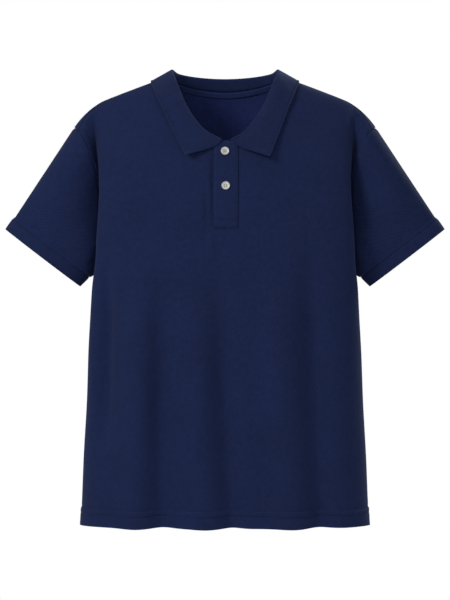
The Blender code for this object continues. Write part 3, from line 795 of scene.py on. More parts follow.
# ---------------------------------------------------------------- panels
@dataclass
class BodyPanel:
    """The front or back panel, from the hem to the neckline and the shoulder seams.

    Attributes:
        side: which panel it is.
        finish, reverse: the two sides of its cloth.
        wall: the cloth's thickness in millimetres.
        hem: depth of the turned-up hem.
        neck_cells, side_cells, strip_cells: columns across the neck, beyond it, and round to the seam.
        hem_cells, low_cells, high_cells, cap_cells: rows over the hem, to the chest, to the ridge, past it.
        hem_margin: how far the close rows go on above the hem.
        slot_half, slot_bottom: the opening for the plackets.
        valley: how far the cloth falls in beside the sleeve.
        creases: its short creases.
        seam_draw, seam_draw_half: how far side seams and armholes draw the cloth in, and how widely.
        shoulder_draw, shoulder_draw_half: the same for the shoulder seam.
        hem_stands: how far the turned-up hem stands out.
        hem_dip: how far a fold that stands out by one lowers the hem.
        turn_reach: how far from the turn the rounding reaches.
        cap_start: length of cloth below the shoulder ridge, where the cap's own pattern starts.
    """

    side: Side
    finish: Finish
    reverse: Finish
    wall: float = 1.2
    hem: float = 25.0
    neck_cells: int = 76
    side_cells: int = 52
    strip_cells: int = 16
    hem_cells: int = 26
    low_cells: int = 92
    high_cells: int = 88
    cap_cells: int = 8
    slot_half: float = 13.0
    slot_bottom: float = -226.0
    valley: float = 9.0
    creases: tuple = ()
    hem_margin: float = 5.0
    seam_draw: float = 2.0
    seam_draw_half: float = 3.0
    shoulder_draw: float = 1.4
    shoulder_draw_half: float = 2.4
    hem_stands: float = 1.3
    hem_dip: float = 0.16
    turn_reach: float = 26.0
    cap_start: float = 740.0

    def columns(self) -> tuple[np.ndarray, np.ndarray]:
        """Reference x and strip step of every column, from the wearer's right to the left."""
        part = np.linspace(0.0, 1.0, self.neck_cells // 2 + 1)
        inner = FORM.neck_half * (part + np.sin(part * math.pi / 2)) / 2
        out = np.linspace(0.0, math.pi / 2, self.side_cells + 1)[1:]
        outer = FORM.neck_half + (FORM.fold_x - FORM.neck_half) * np.sin(out)
        strip = np.linspace(0.0, 1.0, self.strip_cells + 1)[1:]
        reference = np.concatenate([inner, outer, np.full(self.strip_cells, FORM.fold_x)])
        step = np.concatenate([np.zeros(len(inner) + len(outer)), strip])
        return (
            np.concatenate([-reference[:0:-1], reference]),
            np.concatenate([step[:0:-1], step]),
        )

    def place(self, reference: np.ndarray, step: np.ndarray, low: np.ndarray, rise: np.ndarray) -> np.ndarray:
        """Points of the panel, on a grid of columns by rows.

        Args:
            reference, step: the columns.
            low: heights of the rows below the chest.
            rise: rises of the rows above it.

        Returns:
            Array of columns by rows by 3.
        """
        form, side = FORM, self.side
        ref, z = np.meshgrid(reference, low, indexing="ij")
        steps = np.broadcast_to(step[:, None], ref.shape)
        turn = form.wall_point(side, ref, z)
        seam = stack(np.sign(ref) * smooth(form.side_rows, z, 1), 0.0, z)
        lower = np.where(
            (steps > 0)[..., None], form.strip_point(side, turn, seam, np.zeros(z.shape), steps), turn
        )
        ref, up = np.meshgrid(reference, rise, indexing="ij")
        steps = np.broadcast_to(step[:, None], ref.shape)
        front = side is Side.FRONT
        at_turn = form.seam_rise(ref, np.zeros(ref.shape)) if front else np.ones(ref.shape)
        turn = form.shoulder_point(side, ref, up * at_turn)
        at_sleeve = form.seam_at_sleeve if front else 1.0
        seam = form.armhole_point(side, Hand.LEFT, up * at_sleeve)
        seam[..., 0] *= np.sign(ref)
        upper = np.where((steps > 0)[..., None], form.strip_point(side, turn, seam, up, steps), turn)
        fallen = np.sin(math.pi * np.clip(steps, 0.0, 1.0)) * ease(75.0, 135.0, -upper[..., 2])
        upper[..., 1] -= side.value * self.valley * fallen
        return np.concatenate([lower, upper], axis=1)

    def spread(self, points: np.ndarray, step: np.ndarray) -> np.ndarray:
        """Distances over the cloth from the middle of the hem.

        Args:
            points: the panel's points, as columns by rows by 3.
            step: the columns' steps along their strip.

        Returns:
            Array of columns by rows by 2.
        """
        part = np.linspace(0.0, 1.0, 49)
        x, z = points[..., 0, None], points[..., 2, None]
        xs = x * np.sin(part * math.pi / 2)
        depth = FORM.section_depth(self.side, xs, z)
        across = np.hypot(np.diff(xs, axis=-1), np.diff(depth, axis=-1)).sum(axis=-1) * np.sign(x[..., 0])
        above = np.maximum(z - FORM.chest_z, 0.0)
        zs = FORM.chest_z + above * np.sin(part * math.pi / 2)
        depth = FORM.face_point(self.side, np.broadcast_to(x, zs.shape), zs)[..., 1]
        up = np.hypot(np.diff(zs, axis=-1), np.diff(depth, axis=-1)).sum(axis=-1)
        up += np.minimum(z[..., 0], FORM.chest_z) - FORM.hem_z
        uv = np.stack([across, up], axis=-1)
        steps = np.linalg.norm(np.diff(points, axis=0), axis=-1)
        middle = len(step) // 2
        for i in range(middle + 1, len(step)):
            if step[i] > 0:
                uv[i] = uv[i - 1] + stack(steps[i - 1], 0.0, 0.0)[..., :2]
            j = len(step) - 1 - i
            if step[j] > 0:
                uv[j] = uv[j + 1] - stack(steps[j], 0.0, 0.0)[..., :2]
        return uv

    def soften(self, points: np.ndarray, step: np.ndarray) -> np.ndarray:
        """Rounds the turn from the chest towards the sleeve, most broadly at the shoulder.

        Args:
            points: the panel's points, as columns by rows by 3.
            step: the columns' steps along their strip.

        Returns:
            The rounded points.
        """
        length = np.linalg.norm(np.diff(points, axis=0, prepend=points[:1]), axis=-1)
        place = np.cumsum(length, axis=0)
        share = (length + np.roll(length, -1, axis=0)) / 2
        width = 2.0 + 9.0 * ease(-170.0, -80.0, points[len(step) // 2 + self.neck_cells, :, 2])
        rounded = np.empty_like(points)
        for row in range(points.shape[1]):
            apart = (place[:, None, row] - place[None, :, row]) / width[row]
            weight = np.exp(-0.5 * apart**2) * share[None, :, row]
            rounded[:, row] = (weight @ points[:, row]) / weight.sum(axis=1, keepdims=True)
        total = np.zeros(place.shape)
        for turn in (self.strip_cells, len(step) - 1 - self.strip_cells):
            total += bump(place - place[turn], self.turn_reach)
        to_edge = np.minimum(place, place[-1:] - place)
        total = np.clip(total, 0.0, 1.0) * ease(0.0, 14.0, to_edge)
        return points + (rounded - points) * total[..., None]

    def relief(self, points: np.ndarray, uv: np.ndarray) -> np.ndarray:
        """How far small features move the face out: seams draw it in, and the hem stands a little proud."""
        x, z = points[..., 0], points[..., 2]
        to_edge = np.minimum(uv[..., 0] - uv[:1, :, 0], uv[-1:, :, 0] - uv[..., 0])
        drawn = -self.seam_draw * bump(to_edge, self.seam_draw_half)
        above_hem = z - FORM.hem_z
        hem = self.hem_stands * (1 - ease(self.hem - 1.0, self.hem + 2.5, above_hem))
        stitched = -0.5 * bump(above_hem - 28.5, 1.5) - 1.7 * bump(above_hem - 18.3, 1.6)
        creases = sum(crease.offset(x, z) for crease in self.creases)
        return drawn + hem + stitched + creases + self.handling(uv)

    def drawn_at_shoulder(self, reference: np.ndarray, to_seam: np.ndarray) -> np.ndarray:
        """How far the shoulder seam draws the cloth in."""
        seamed = np.abs(reference) >= FORM.neck_half - 0.001
        return -self.shoulder_draw * bump(to_seam, self.shoulder_draw_half) * seamed

    def handling(self, uv: np.ndarray) -> np.ndarray:
        """Soft unevenness that worn cloth keeps: long low waves, up and across and aslant."""
        u, v = uv[..., 0], uv[..., 1]
        phase = 0.7 if self.side is Side.FRONT else 2.1
        return (
            0.5 * np.sin(u / 31 + 1.3 * np.sin(v / 90 + phase) + phase)
            + 0.4 * np.sin(u / 17 - v / 61 + 2 * phase)
            + 0.35 * np.sin(v / 27 + u / 83 + phase)
        )

    def cap(self, hand: Hand) -> bmesh.types.BMesh:
        """The part of the back panel that runs over the shoulder ridge to the seam in front of it."""
        reference, step = self.columns()
        keep = reference * hand.value >= FORM.neck_half - 1e-6
        reference, step = reference[keep], step[keep]
        forward = np.linspace(0.0, 1.0, self.cap_cells + 1)
        ref, ahead = np.meshgrid(reference, forward, indexing="ij")
        steps = np.broadcast_to(step[:, None], ref.shape)
        turn_rise = 1 - (1 - FORM.seam_rise(ref, np.zeros(ref.shape))) * ahead
        turn = FORM.shoulder_point(Side.FRONT, ref, turn_rise)
        seam = FORM.armhole_point(Side.FRONT, hand, 1 - (1 - FORM.seam_at_sleeve) * ahead)
        strip = FORM.strip_point(Side.FRONT, turn, seam, np.ones(ref.shape), steps)
        points = np.where((steps > 0)[..., None], strip, turn)
        uv = cloth_distances(points, 0 if hand is Hand.LEFT else len(reference) - 1)
        uv[..., 0] += FORM.neck_half * hand.value
        uv[..., 1] += self.cap_start
        away = turned_with(grid_normals(points), np.array([0.0, 0.0, 1.0]))
        drawn = self.drawn_at_shoulder(ref, uv[:, -1:, 1] - uv[..., 1])
        points = points + away * drawn[..., None]
        return grid_mesh(points, uv)

    def sheet(self) -> bmesh.types.BMesh:
        """The whole panel as one sheet."""
        reference, step = self.columns()
        above_hem = FORM.hem_z + self.hem + self.hem_margin
        low = np.concatenate([
            np.linspace(FORM.hem_z, above_hem, self.hem_cells, endpoint=False),
            np.linspace(above_hem, FORM.chest_z, self.low_cells, endpoint=False),
        ])
        rise = np.linspace(0.0, 1.0, self.high_cells + 1)
        points = self.place(reference, step, low, rise)
        uv = self.spread(points, step)
        points = self.soften(points, step)
        away = grid_normals(points) * (1.0 if self.side is Side.FRONT else -1.0)
        fade = 1 - ease(0.93, 1.0, np.concatenate([np.zeros(len(low)), rise]))[None, :]
        x, z = points[..., 0], points[..., 2]
        near_hem = (1 - ease(0.0, 70.0, z - FORM.hem_z)) * np.abs(points[..., 1]) / 100
        dip = self.hem_dip * FORM.fold_offset(self.side, x, z) * near_hem
        moved = self.relief(points, uv) * fade
        if self.side is Side.FRONT:
            moved += self.drawn_at_shoulder(reference[:, None], uv[:, -1:, 1] - uv[..., 1])
        points = points + away * moved[..., None]
        points[..., 2] -= dip
        sheet = grid_mesh(points, uv)
        if self.side is Side.FRONT:
            self.cut_slot(sheet)
        else:
            sheet = joined([sheet, self.cap(Hand.RIGHT), self.cap(Hand.LEFT)])
        face_outwards(sheet, lambda at: Vector((0.0, self.side.value, 0.0)))
        return sheet

    def cut_slot(self, sheet: bmesh.types.BMesh) -> None:
        """Opens the front where the plackets go."""
        middles = [(face, face.calc_center_median() / MM) for face in sheet.faces]
        cut = [face for face, at in middles if abs(at.x) < self.slot_half and at.z > self.slot_bottom]
        bmesh.ops.delete(sheet, geom=cut, context="FACES")

    def build(self) -> bpy.types.Object:
        """The finished panel in the frame."""
        node = f"{self.side.name.lower()}_panel"
        thing = make_object(f"{node}_cloth", self.sheet(), self.finish.material())
        add_wall(thing, self.wall, reverse=self.reverse.material())
        return dress(thing, node)


def joined(sheets: Sequence[bmesh.types.BMesh]) -> bmesh.types.BMesh:
    """One sheet from several that share their edges."""
    whole = bmesh.new()
    for sheet in sheets:
        mesh = bpy.data.meshes.new("joined")
        sheet.to_mesh(mesh)
        sheet.free()
        whole.from_mesh(mesh)
        bpy.data.meshes.remove(mesh)
    bmesh.ops.remove_doubles(whole, verts=whole.verts[:], dist=MERGE_DISTANCE)
    return whole


# ---------------------------------------------------------------- sleeves and cuffs
@dataclass
class Sleeve:
    """A short set-in sleeve with its rib cuff.

    Attributes:
        hand: which arm it is for.
        cloth, reverse, rib: finishes of the sleeve's two sides and the cuff.
        cuff_middle, cuff_line, cuff_up: middle of the cuff's edge, direction to its outer corner, and up.
        cuff_half, cuff_depth, cuff_height: the cuff's half width, half depth and height.
        fullness, fullness_inside: how much fuller the sleeve is than the cuff, on the outside and inside.
        fullness_height: height over which it is gathered into the cuff.
        shift, bulge: how far the full sleeve leans inwards, and how far it swells to front and back.
        around, rows: its cells.
        wall, rib_wall: thickness of the sleeve and of the cuff.
        seam_draw, seam_draw_half: how far the armhole seam draws it in, and how widely.
        tucked: how far the cuff goes up inside the sleeve, at two places.
        tuck_depth: how far inside the sleeve it is there.
        crease_depth: depth of its creases.
        crease_rows: angle at the armhole, drift towards the cuff, half width, and strength, in radians.
    """

    hand: Hand
    cloth: Finish
    reverse: Finish
    rib: Finish
    cuff_middle: tuple = (291.5, 0.0, -290.9)
    cuff_line: tuple = (0.794, 0.0, 0.607)
    cuff_up: tuple = (-0.607, 0.0, 0.794)
    cuff_half: float = 75.6
    cuff_depth: float = 30.0
    cuff_height: float = 20.0
    fullness: float = 1.0
    fullness_inside: float = 3.4
    fullness_height: float = 5.0
    shift: float = -2.0
    bulge: float = 12.0
    around: int = 110
    rows: int = 56
    wall: float = 1.2
    rib_wall: float = 1.7
    seam_draw: float = 1.9
    seam_draw_half: float = 3.0
    tucked: tuple = (5.0, 1.5)
    tuck_depth: float = 2.4
    crease_depth: float = 1.9
    crease_rows: Rows = (
        (-1.5, 0.55, 0.26, 1.0),
        (-2.05, 0.35, 0.2, -0.8),
        (-2.45, 0.0, 0.16, 0.8),
        (-0.8, 0.25, 0.2, -0.7),
        (1.4, -0.4, 0.28, 1.0),
        (2.0, 0.0, 0.22, -0.7),
    )

    def armhole(self) -> tuple[np.ndarray, np.ndarray]:
        """Points around the armhole, from the armpit up the front and down the back, and their angles."""
        half = self.around // 2
        rise = np.linspace(0.0, 1.0, half + 1)
        front = FORM.armhole_point(Side.FRONT, self.hand, rise)
        back = FORM.armhole_point(Side.BACK, self.hand, rise[::-1])
        angles = []
        for run, start in ((front, -math.pi), (back, 0.0)):
            lengths = lengths_along(run)
            angles.append(start + math.pi * lengths / lengths[-1])
        return np.concatenate([front, back[1:]]), np.concatenate([angles[0], angles[1][1:]])

    def ring(self, up: float, shift: float, ease_out: Values, angle: np.ndarray) -> np.ndarray:
        """Points of a ring around the arm, this far up the sleeve from the cuff's lower edge."""
        line = (self.cuff_half + ease_out) * np.cos(angle) + shift
        points = (
            np.array(self.cuff_middle)
            + up * np.array(self.cuff_up)
            + line[..., None] * np.array(self.cuff_line)
            + ((self.cuff_depth + ease_out) * np.sin(angle))[..., None] * np.array([0.0, 1.0, 0.0])
        )
        return points * np.array([self.hand.value, 1.0, 1.0])

    def fuller(self, angle: np.ndarray) -> np.ndarray:
        """How much fuller than the cuff's edge the sleeve is: most on the side of the body."""
        return self.fullness + (self.fullness_inside - self.fullness) * ease(0.2, 1.0, -np.cos(angle))

    def creases(self, share: np.ndarray, angle: np.ndarray) -> np.ndarray:
        """Soft folds of the sleeve: they fan from the armpit, and one runs down from the shoulder tip."""
        total = sum(
            strength * bump(angle - start - drift * share, half)
            for start, drift, half, strength in self.crease_rows
        )
        return self.crease_depth * np.sin(math.pi * np.clip(share, 0.0, 1.0)) * total

    def sleeve_sheet(self) -> bmesh.types.BMesh:
        """The sleeve from the armhole to the cuff's seam."""
        start, angle = self.armhole()
        share = np.linspace(0.0, 1.0, self.rows + 1)
        fuller = self.fuller(angle)
        full = self.ring(self.cuff_height + self.fullness_height, self.shift, fuller, angle)
        shares, angles = np.broadcast_arrays(share[None, :], angle[:, None])
        points = start[:, None] + (full - start)[:, None] * share[None, :, None]
        points = points + stack(0.0, self.bulge * np.sin(math.pi * shares) * np.sin(angles), 0.0)
        last = [self.fullness_height * part for part in (0.66, 0.33, 0.0)]
        for up in last:
            part = up / self.fullness_height
            turned = fuller * (0.35 + 0.65 * math.sqrt(1 - (1 - part) ** 2))
            row = self.ring(self.cuff_height + up, self.shift * part, turned, angle)
            points = np.concatenate([points, row[:, None]], axis=1)
        uv = cloth_distances(points, len(angle) // 2)
        away = turned_with(grid_normals(points), points - points.mean(axis=0, keepdims=True))
        all_shares = np.concatenate([share, np.ones(len(last))])
        shares, angles = np.broadcast_arrays(all_shares[None, :], angle[:, None])
        drawn = -self.seam_draw * bump(uv[..., 1], self.seam_draw_half)
        seam = drawn + self.creases(shares, angles)
        points = points + away * seam[..., None]
        points[-1] = points[0]
        return self.tube(points, uv)

    def tube(self, points: np.ndarray, uv: np.ndarray) -> bmesh.types.BMesh:
        """A tube around the arm from a grid whose last column meets its first, with its faces outwards."""
        sheet = grid_mesh(points, uv)
        bmesh.ops.remove_doubles(sheet, verts=sheet.verts[:], dist=MERGE_DISTANCE)
        middle = Vector(self.cuff_middle)
        middle.x *= self.hand.value
        up = Vector((self.cuff_up[0] * self.hand.value, 0.0, self.cuff_up[2]))

        def outward(at: Vector) -> Vector:
            """From the arm's axis to a place on the tube."""
            arm = at / MM - middle
            return arm - up * arm.dot(up)

        face_outwards(sheet, outward)
        return sheet

    def cuff_sheet(self) -> bmesh.types.BMesh:
        """The rib cuff, from its seam to its free edge, drawn in a little at the seam."""
        _, angle = self.armhole()
        rings = [self.ring(self.cuff_height + up, 0.0, -self.tuck_depth, angle) for up in self.tucked]
        for up in np.linspace(self.cuff_height - 0.3, 0.0, 15):
            crown = 0.7 * math.sqrt(max(0.0, 1 - ((up - 9.5) / 11.0) ** 2)) - 0.4
            flare = 0.8 * self.fuller(angle) * ease(-2.0, self.cuff_height + 4.0, np.array(up))
            rings.append(self.ring(up, 0.0, crown + flare, angle))
        points = np.stack(rings, axis=1)
        points[-1] = points[0]
        return self.tube(points, cloth_distances(points, 0))

    def build(self) -> list[bpy.types.Object]:
        """The finished sleeve and cuff in the frame."""
        name = self.hand.name.lower()
        sleeve = make_object(f"sleeve_{name}_cloth", self.sleeve_sheet(), self.cloth.material())
        add_wall(sleeve, self.wall, reverse=self.reverse.material())
        dress(sleeve, f"sleeve_{name}")
        cuff = make_object(f"cuff_{name}_rib", self.cuff_sheet(), self.rib.material())
        add_wall(cuff, self.rib_wall)
        dress(cuff, f"cuff_{name}")
        return [sleeve, cuff]


# ---------------------------------------------------------------- collar and neck tape
@dataclass
class Collar:
    """The turned-down rib collar: stand, rolled edge and fall in one.

    Attributes:
        finish: its rib.
        rows: place from centre back (0) to a leaf's end (1), roll line x y z, fall edge x y z.
        right_point: the wearer's right collar point lies this much nearer the middle.
        clear, clear_placket: middle of the fall above the panels, and above the placket.
        end_x: where each leaf ends at the neckline, from the middle.
        roll_radius, roll_radius_front: radius of the rolled edge at the back and at the leaves' ends.
        sunk: how far the stand's foot is inside the panels' face.
        half_cells: cells along one half.
        welt, welt_rows: width of the raised free edge; share of it left to the edge, and its height there.
        placket_half, placket_clear: the placket's half width, and where the fall is clear of it.
    """

    finish: Finish
    wall: float = 1.8
    end_x: dict = field(default_factory=lambda: {Hand.RIGHT: 5.0, Hand.LEFT: 9.5})
    right_point: tuple = (9.0, 0.0, 2.0)
    roll_radius: float = 2.2
    roll_radius_front: float = 1.3
    clear: float = 1.5
    clear_placket: float = 3.4
    sunk: float = 0.6
    placket_half: float = 20.3
    placket_clear: float = 32.3
    half_cells: int = 110
    welt: float = 4.0
    welt_rows: Rows = ((0.78, -0.5), (0.55, 0.3), (0.32, 0.8), (0.14, 0.7), (0.0, 0.1))
    rows: Rows = (
        (0.0, 0.0, 56.0, -1.0, 0.0, 75.0, -48.0),
        (0.15, 42.5, 50.5, 1.0, 52.0, 69.0, -43.0),
        (0.28, 74.0, 36.0, 5.5, 90.0, 52.0, -31.0),
        (0.40, 84.5, 0.0, 9.3, 117.0, 0.0, -8.5),
        (0.52, 79.0, -32.0, -9.0, 109.0, -40.0, -33.0),
        (0.62, 70.0, -46.0, -31.0, 97.6, -59.0, -62.0),
        (0.72, 59.5, -58.0, -54.5, 88.0, -71.0, -88.0),
        (0.82, 45.6, -69.0, -76.0, 79.5, -81.0, -110.0),
        (0.92, 29.3, -77.0, -94.5, 73.5, -89.0, -126.0),
        (1.0, 9.0, -83.0, -107.6, 70.0, -96.0, -134.0),
    )

    def seam(self, hand: Hand) -> tuple[np.ndarray, np.ndarray]:
        """Points of the neckline from centre back to the leaf's end, evenly spaced, and their places."""
        turn = np.linspace(0.0, math.pi / 2, 400)
        back = FORM.shoulder_point(Side.BACK, FORM.neck_half * np.sin(turn), np.ones(400))
        end = math.asin(self.end_x[hand] / FORM.neck_half)
        turn = np.linspace(math.pi / 2, end, 400)
        front = FORM.shoulder_point(Side.FRONT, FORM.neck_half * np.sin(turn), np.ones(400))
        run = np.concatenate([back, front[1:]])
        length = lengths_along(run)
        place = np.linspace(0.0, 1.0, self.half_cells + 1)
        points = [np.interp(place * length[-1], length, run[:, axis]) for axis in range(3)]
        return np.stack(points, axis=-1), place

    def line(self, place: np.ndarray, first: int, hand: Hand) -> np.ndarray:
        """Points of the roll line or the fall edge, from the table's columns that start at first."""
        mirrored = [(-row[0], -row[first], *row[first + 1 : first + 3]) for row in self.rows[:0:-1]]
        table = mirrored + [(row[0], *row[first : first + 3]) for row in self.rows]
        points = np.stack([smooth(table, place, column) for column in (1, 2, 3)], axis=-1)
        if first == 4 and hand is Hand.RIGHT:
            toward = ease(0.45, 1.0, place)
            points = points + toward[..., None] * np.array([-1.0, 1.0, 1.0]) * np.array(self.right_point)
        if first == 1:
            points[..., 0] += (self.end_x[hand] - self.rows[-1][1]) * ease(0.85, 1.0, place)
        return points * np.array([hand.value, 1.0, 1.0])

    def sections(self, hand: Hand) -> np.ndarray:
        """Points across the collar at every place of one half: up the stand, over the roll, down the fall."""
        seam, place = self.seam(hand)
        seam = seam * np.array([hand.value, 1.0, 1.0])
        seam = seam - FORM.outside(seam)[1] * self.sunk
        roll, edge = self.line(place, 1, hand), self.line(place, 4, hand)
        ahead = self.line(np.minimum(place + 0.02, 1.0), 1, hand)
        along = ahead - self.line(place - 0.02, 1, hand)
        up = unit(roll - seam)
        out = turned_with(unit(np.cross(along, up)), edge - roll)
        radius = self.roll_radius + (self.roll_radius_front - self.roll_radius) * ease(0.6, 1.0, place)
        radius = radius[:, None]
        centre = roll - up * radius
        foot, top = seam + up * 0.3, centre - out * radius
        columns = [foot + (top - foot) * part for part in (0.0, 0.3, 0.6, 0.85)]
        for degrees in np.linspace(180.0, 15.0, 10):
            angle = math.radians(degrees)
            columns.append(centre + (out * math.cos(angle) + up * math.sin(angle)) * radius)
        start = columns[-1]
        length = np.linalg.norm(edge - start, axis=-1, keepdims=True)
        fall = [(part * (1 - self.welt / length), 0.0) for part in np.linspace(0.0, 1.0, 22)[1:]]
        fall += [(1 - left * self.welt / length, stands) for left, stands in self.welt_rows]
        for part, stands in fall:
            point = hermite(start, (out * 0.5 - up * 0.5) * length, edge, (edge - start) * 0.9, part)
            off_placket = ease(self.placket_half, self.placket_clear, np.abs(point[..., 0]))
            near = (1 - off_placket) * (point[..., 1] < 0)
            point = FORM.lifted(point, self.clear + (self.clear_placket - self.clear) * near)
            columns.append(point + FORM.outside(point)[1] * stands)
        return np.stack(columns, axis=1)

    def build(self) -> bpy.types.Object:
        """The finished collar in the frame."""
        right, left = self.sections(Hand.RIGHT), self.sections(Hand.LEFT)
        points = np.concatenate([right[:0:-1], left])
        uv = cloth_distances(points, self.half_cells)
        thing = make_object("collar_rib", grid_mesh(points, uv), self.finish.material())
        add_wall(thing, self.wall, 0.0)
        return dress(thing, "collar")


@dataclass
class NeckTape:
    """Tape over the collar seam inside the back neck, from shoulder to shoulder.

    Attributes:
        finish: its twill.
        width, wall: its size.
        start: how far below the seam its upper edge is.
        depth: its middle, from the back panel's outer face.
    """

    finish: Finish
    width: float = 10.0
    wall: float = 0.7
    start: float = 0.6
    depth: float = -1.65
    cells: int = 120

    def build(self) -> bpy.types.Object:
        """The finished tape in the frame."""
        turn = np.linspace(-math.pi / 2, math.pi / 2, self.cells + 1)
        seam = FORM.shoulder_point(Side.BACK, FORM.neck_half * np.sin(turn), np.ones(self.cells + 1))
        along = np.gradient(seam, axis=0)
        neck_middle = np.array([0.0, -20.0, 0.0])
        across = turned_with(unit(np.cross(along, FORM.outside(seam)[1])), seam - neck_middle)
        spread = np.linspace(self.start, self.width, 7)
        rows = [FORM.at_distance(seam + across * away, np.full(len(seam), self.depth)) for away in spread]
        points = np.stack(rows, axis=1)
        sheet = grid_mesh(points, cloth_distances(points, self.cells // 2))
        thing = make_object("neck_tape_twill", sheet, self.finish.material())
        add_wall(thing, self.wall, 0.0)
        return dress(thing, "neck_tape")


# ---------------------------------------------------------------- plackets
@dataclass
class Placket:
    """One of the two strips of the front opening.

    Attributes:
        node: the strip's node.
        left, right, bottom: its edges.
        distance: its middle, from the panel's outer face.
        top_drop, top_rise, top_half: its top edge below the neckline, and the hump there between the leaves.
        sunk: how far its sewn edges and rows of stitches draw it down.
        box_low, box_height: the lower row of the box at its foot, and the box's height.
    """

    node: str
    finish: Finish
    left: float
    right: float
    bottom: float
    distance: float
    wall: float = 1.5
    top_drop: float = 0.6
    top_rise: float = 0.0
    top_half: float = 8.5
    sunk: float = 0.0
    box_low: float = 1.8
    box_height: float = 12.2
    columns: int = 38
    rows: int = 150

    def relief(self, x: np.ndarray, z: np.ndarray) -> np.ndarray:
        """How far the strip's face stands out: rounded edges, drawn in along the rows of stitches."""
        above = z - self.bottom
        edge = np.minimum(np.minimum(x - self.left, self.right - x), above)
        rounded = 0.35 * (1 - bump(edge, 1.4)) - 0.35 * bump(edge - 2.4, 0.9)
        sewn_down = 1 - ease(0.0, 5.0, np.minimum(self.right - x, above))
        box = bump(above - self.box_low - self.box_height, 1.1) + bump(above - self.box_low, 0.9)
        return rounded - self.sunk * (sewn_down + 1.5 * box)

    def face(self, x: np.ndarray, z: np.ndarray, extra: float = 0.0) -> np.ndarray:
        """Points on the strip's middle, or further out by extra."""
        points = FORM.face_point(Side.FRONT, x, z)
        return FORM.at_distance(points, self.distance + self.relief(x, z) + extra)

    def build(self) -> bpy.types.Object:
        """The finished strip in the frame."""
        across = np.linspace(self.left, self.right, self.columns + 1)
        up = np.linspace(0.0, 1.0, self.rows + 1)
        hump = self.top_rise * np.exp(-((across / self.top_half) ** 6))
        top = FORM.neckline_z(Side.FRONT, across) - self.top_drop + hump
        x, share = np.meshgrid(across, up, indexing="ij")
        z = self.bottom + (top[:, None] - self.bottom) * share
        points = self.face(x, z)
        sheet = grid_mesh(points, cloth_distances(points, 0))
        thing = make_object(f"{self.node}_cloth", sheet, self.finish.material())
        add_wall(thing, self.wall, 0.0)
        return dress(thing, self.node)


# ---------------------------------------------------------------- stitches
@dataclass
class StitchRun:
    """A row of lockstitches along a path.

    Attributes:
        pitch: from one stitch to the next.
        length: of one stitch.
        thread: the thread's thickness.
    """

    pitch: float = 3.2
    length: float = 2.5
    thread: float = 0.55

    def add_to(self, shape: bmesh.types.BMesh, path: np.ndarray, away: np.ndarray) -> int:
        """Adds the stitches of one row.

        Args:
            shape: the mesh that they join.
            path: points along the row, in millimetres.
            away: the direction out of the cloth at each point.

        Returns:
            How many stitches were added.
        """
        length = lengths_along(path)
        count = int(length[-1] / self.pitch)
        for i in range(count):
            middle = (i + 0.5) * length[-1] / count
            ends = [self.at(path, length, middle + side * self.length / 2) for side in (-1, 1)]
            out = Vector(self.at(away, length, middle)).normalized()
            along = (Vector(ends[1]) - Vector(ends[0])).normalized()
            across = out.cross(along).normalized()
            turn = Matrix((along, across, out)).transposed().to_4x4()
            size = Matrix.Diagonal((self.length / 2, self.thread / 2, self.thread / 2, 1.0))
            centre = (Vector(ends[0]) + Vector(ends[1])) / 2
            matrix = Matrix.Scale(MM, 4) @ Matrix.Translation(centre) @ turn @ size
            bmesh.ops.create_icosphere(shape, subdivisions=1, radius=1.0, matrix=matrix)
        return count

    @staticmethod
    def at(values: np.ndarray, length: np.ndarray, place: float) -> list[float]:
        """Values along the row at a distance."""
        return [float(np.interp(place, length, values[:, axis])) for axis in range(3)]


@dataclass
class Stitching:
    """All the rows of stitches that show on the outside.

    Attributes:
        thread: what they are sewn with.
        placket: the strip that the placket's rows are on.
        hem_rows: heights of the twin rows.
        edge: from the placket's rows to its edges.
        below_neck: from the neckline to the rows' upper ends.
    """

    thread: Finish
    placket: Placket
    hem_rows: tuple = (-690.0, -697.7)
    edge: float = 2.4
    below_neck: float = 4.0

    def hem(self, shape: bmesh.types.BMesh, panels: Sequence[BodyPanel]) -> int:
        """Twin rows around the hem."""
        count = 0
        for panel in panels:
            reference, step = panel.columns()
            for z in self.hem_rows:
                path = panel.place(reference, step, np.array([z]), np.array([0.0]))[:, 0]
                level = unit(np.cross(np.gradient(path, axis=0), [0.0, 0.0, 1.0]))
                away = turned_with(level, np.array([0.0, panel.side.value, 0.0]))
                count += StitchRun().add_to(shape, path + away * 0.15, away)
        return count

    def placket_rows(self, shape: bmesh.types.BMesh) -> int:
        """Rows along the placket's edges and the box at its foot."""
        strip = self.placket
        top = FORM.neckline_z(Side.FRONT, np.array([0.0]))[0] - self.below_neck
        left, right = strip.left + self.edge, strip.right - self.edge
        low = strip.bottom + strip.box_low
        high = low + strip.box_height
        runs = (
            ((left, top), (left, low)),
            ((right, top), (right, low)),
            ((left, low), (right, low)),
            ((left, high), (right, high)),
        )
        count = 0
        for (x0, z0), (x1, z1) in runs:
            x, z = np.linspace(x0, x1, 60), np.linspace(z0, z1, 60)
            path = strip.face(x, z, strip.wall / 2 - 0.05)
            count += StitchRun(pitch=2.8, length=2.2).add_to(shape, path, FORM.outside(path)[1])
        return count

    def build(self, panels: Sequence[BodyPanel]) -> list[bpy.types.Object]:
        """The hem's and the placket's stitches in the frame."""
        things = []
        material = self.thread.material()
        for name, add in (
            ("hem_stitches", lambda shape: self.hem(shape, panels)),
            ("placket_stitches", self.placket_rows),
        ):
            shape = bmesh.new()
            LOG.info("%s: %d stitches", name, add(shape))
            things.append(dress(make_object(name, shape, material)))
        return things


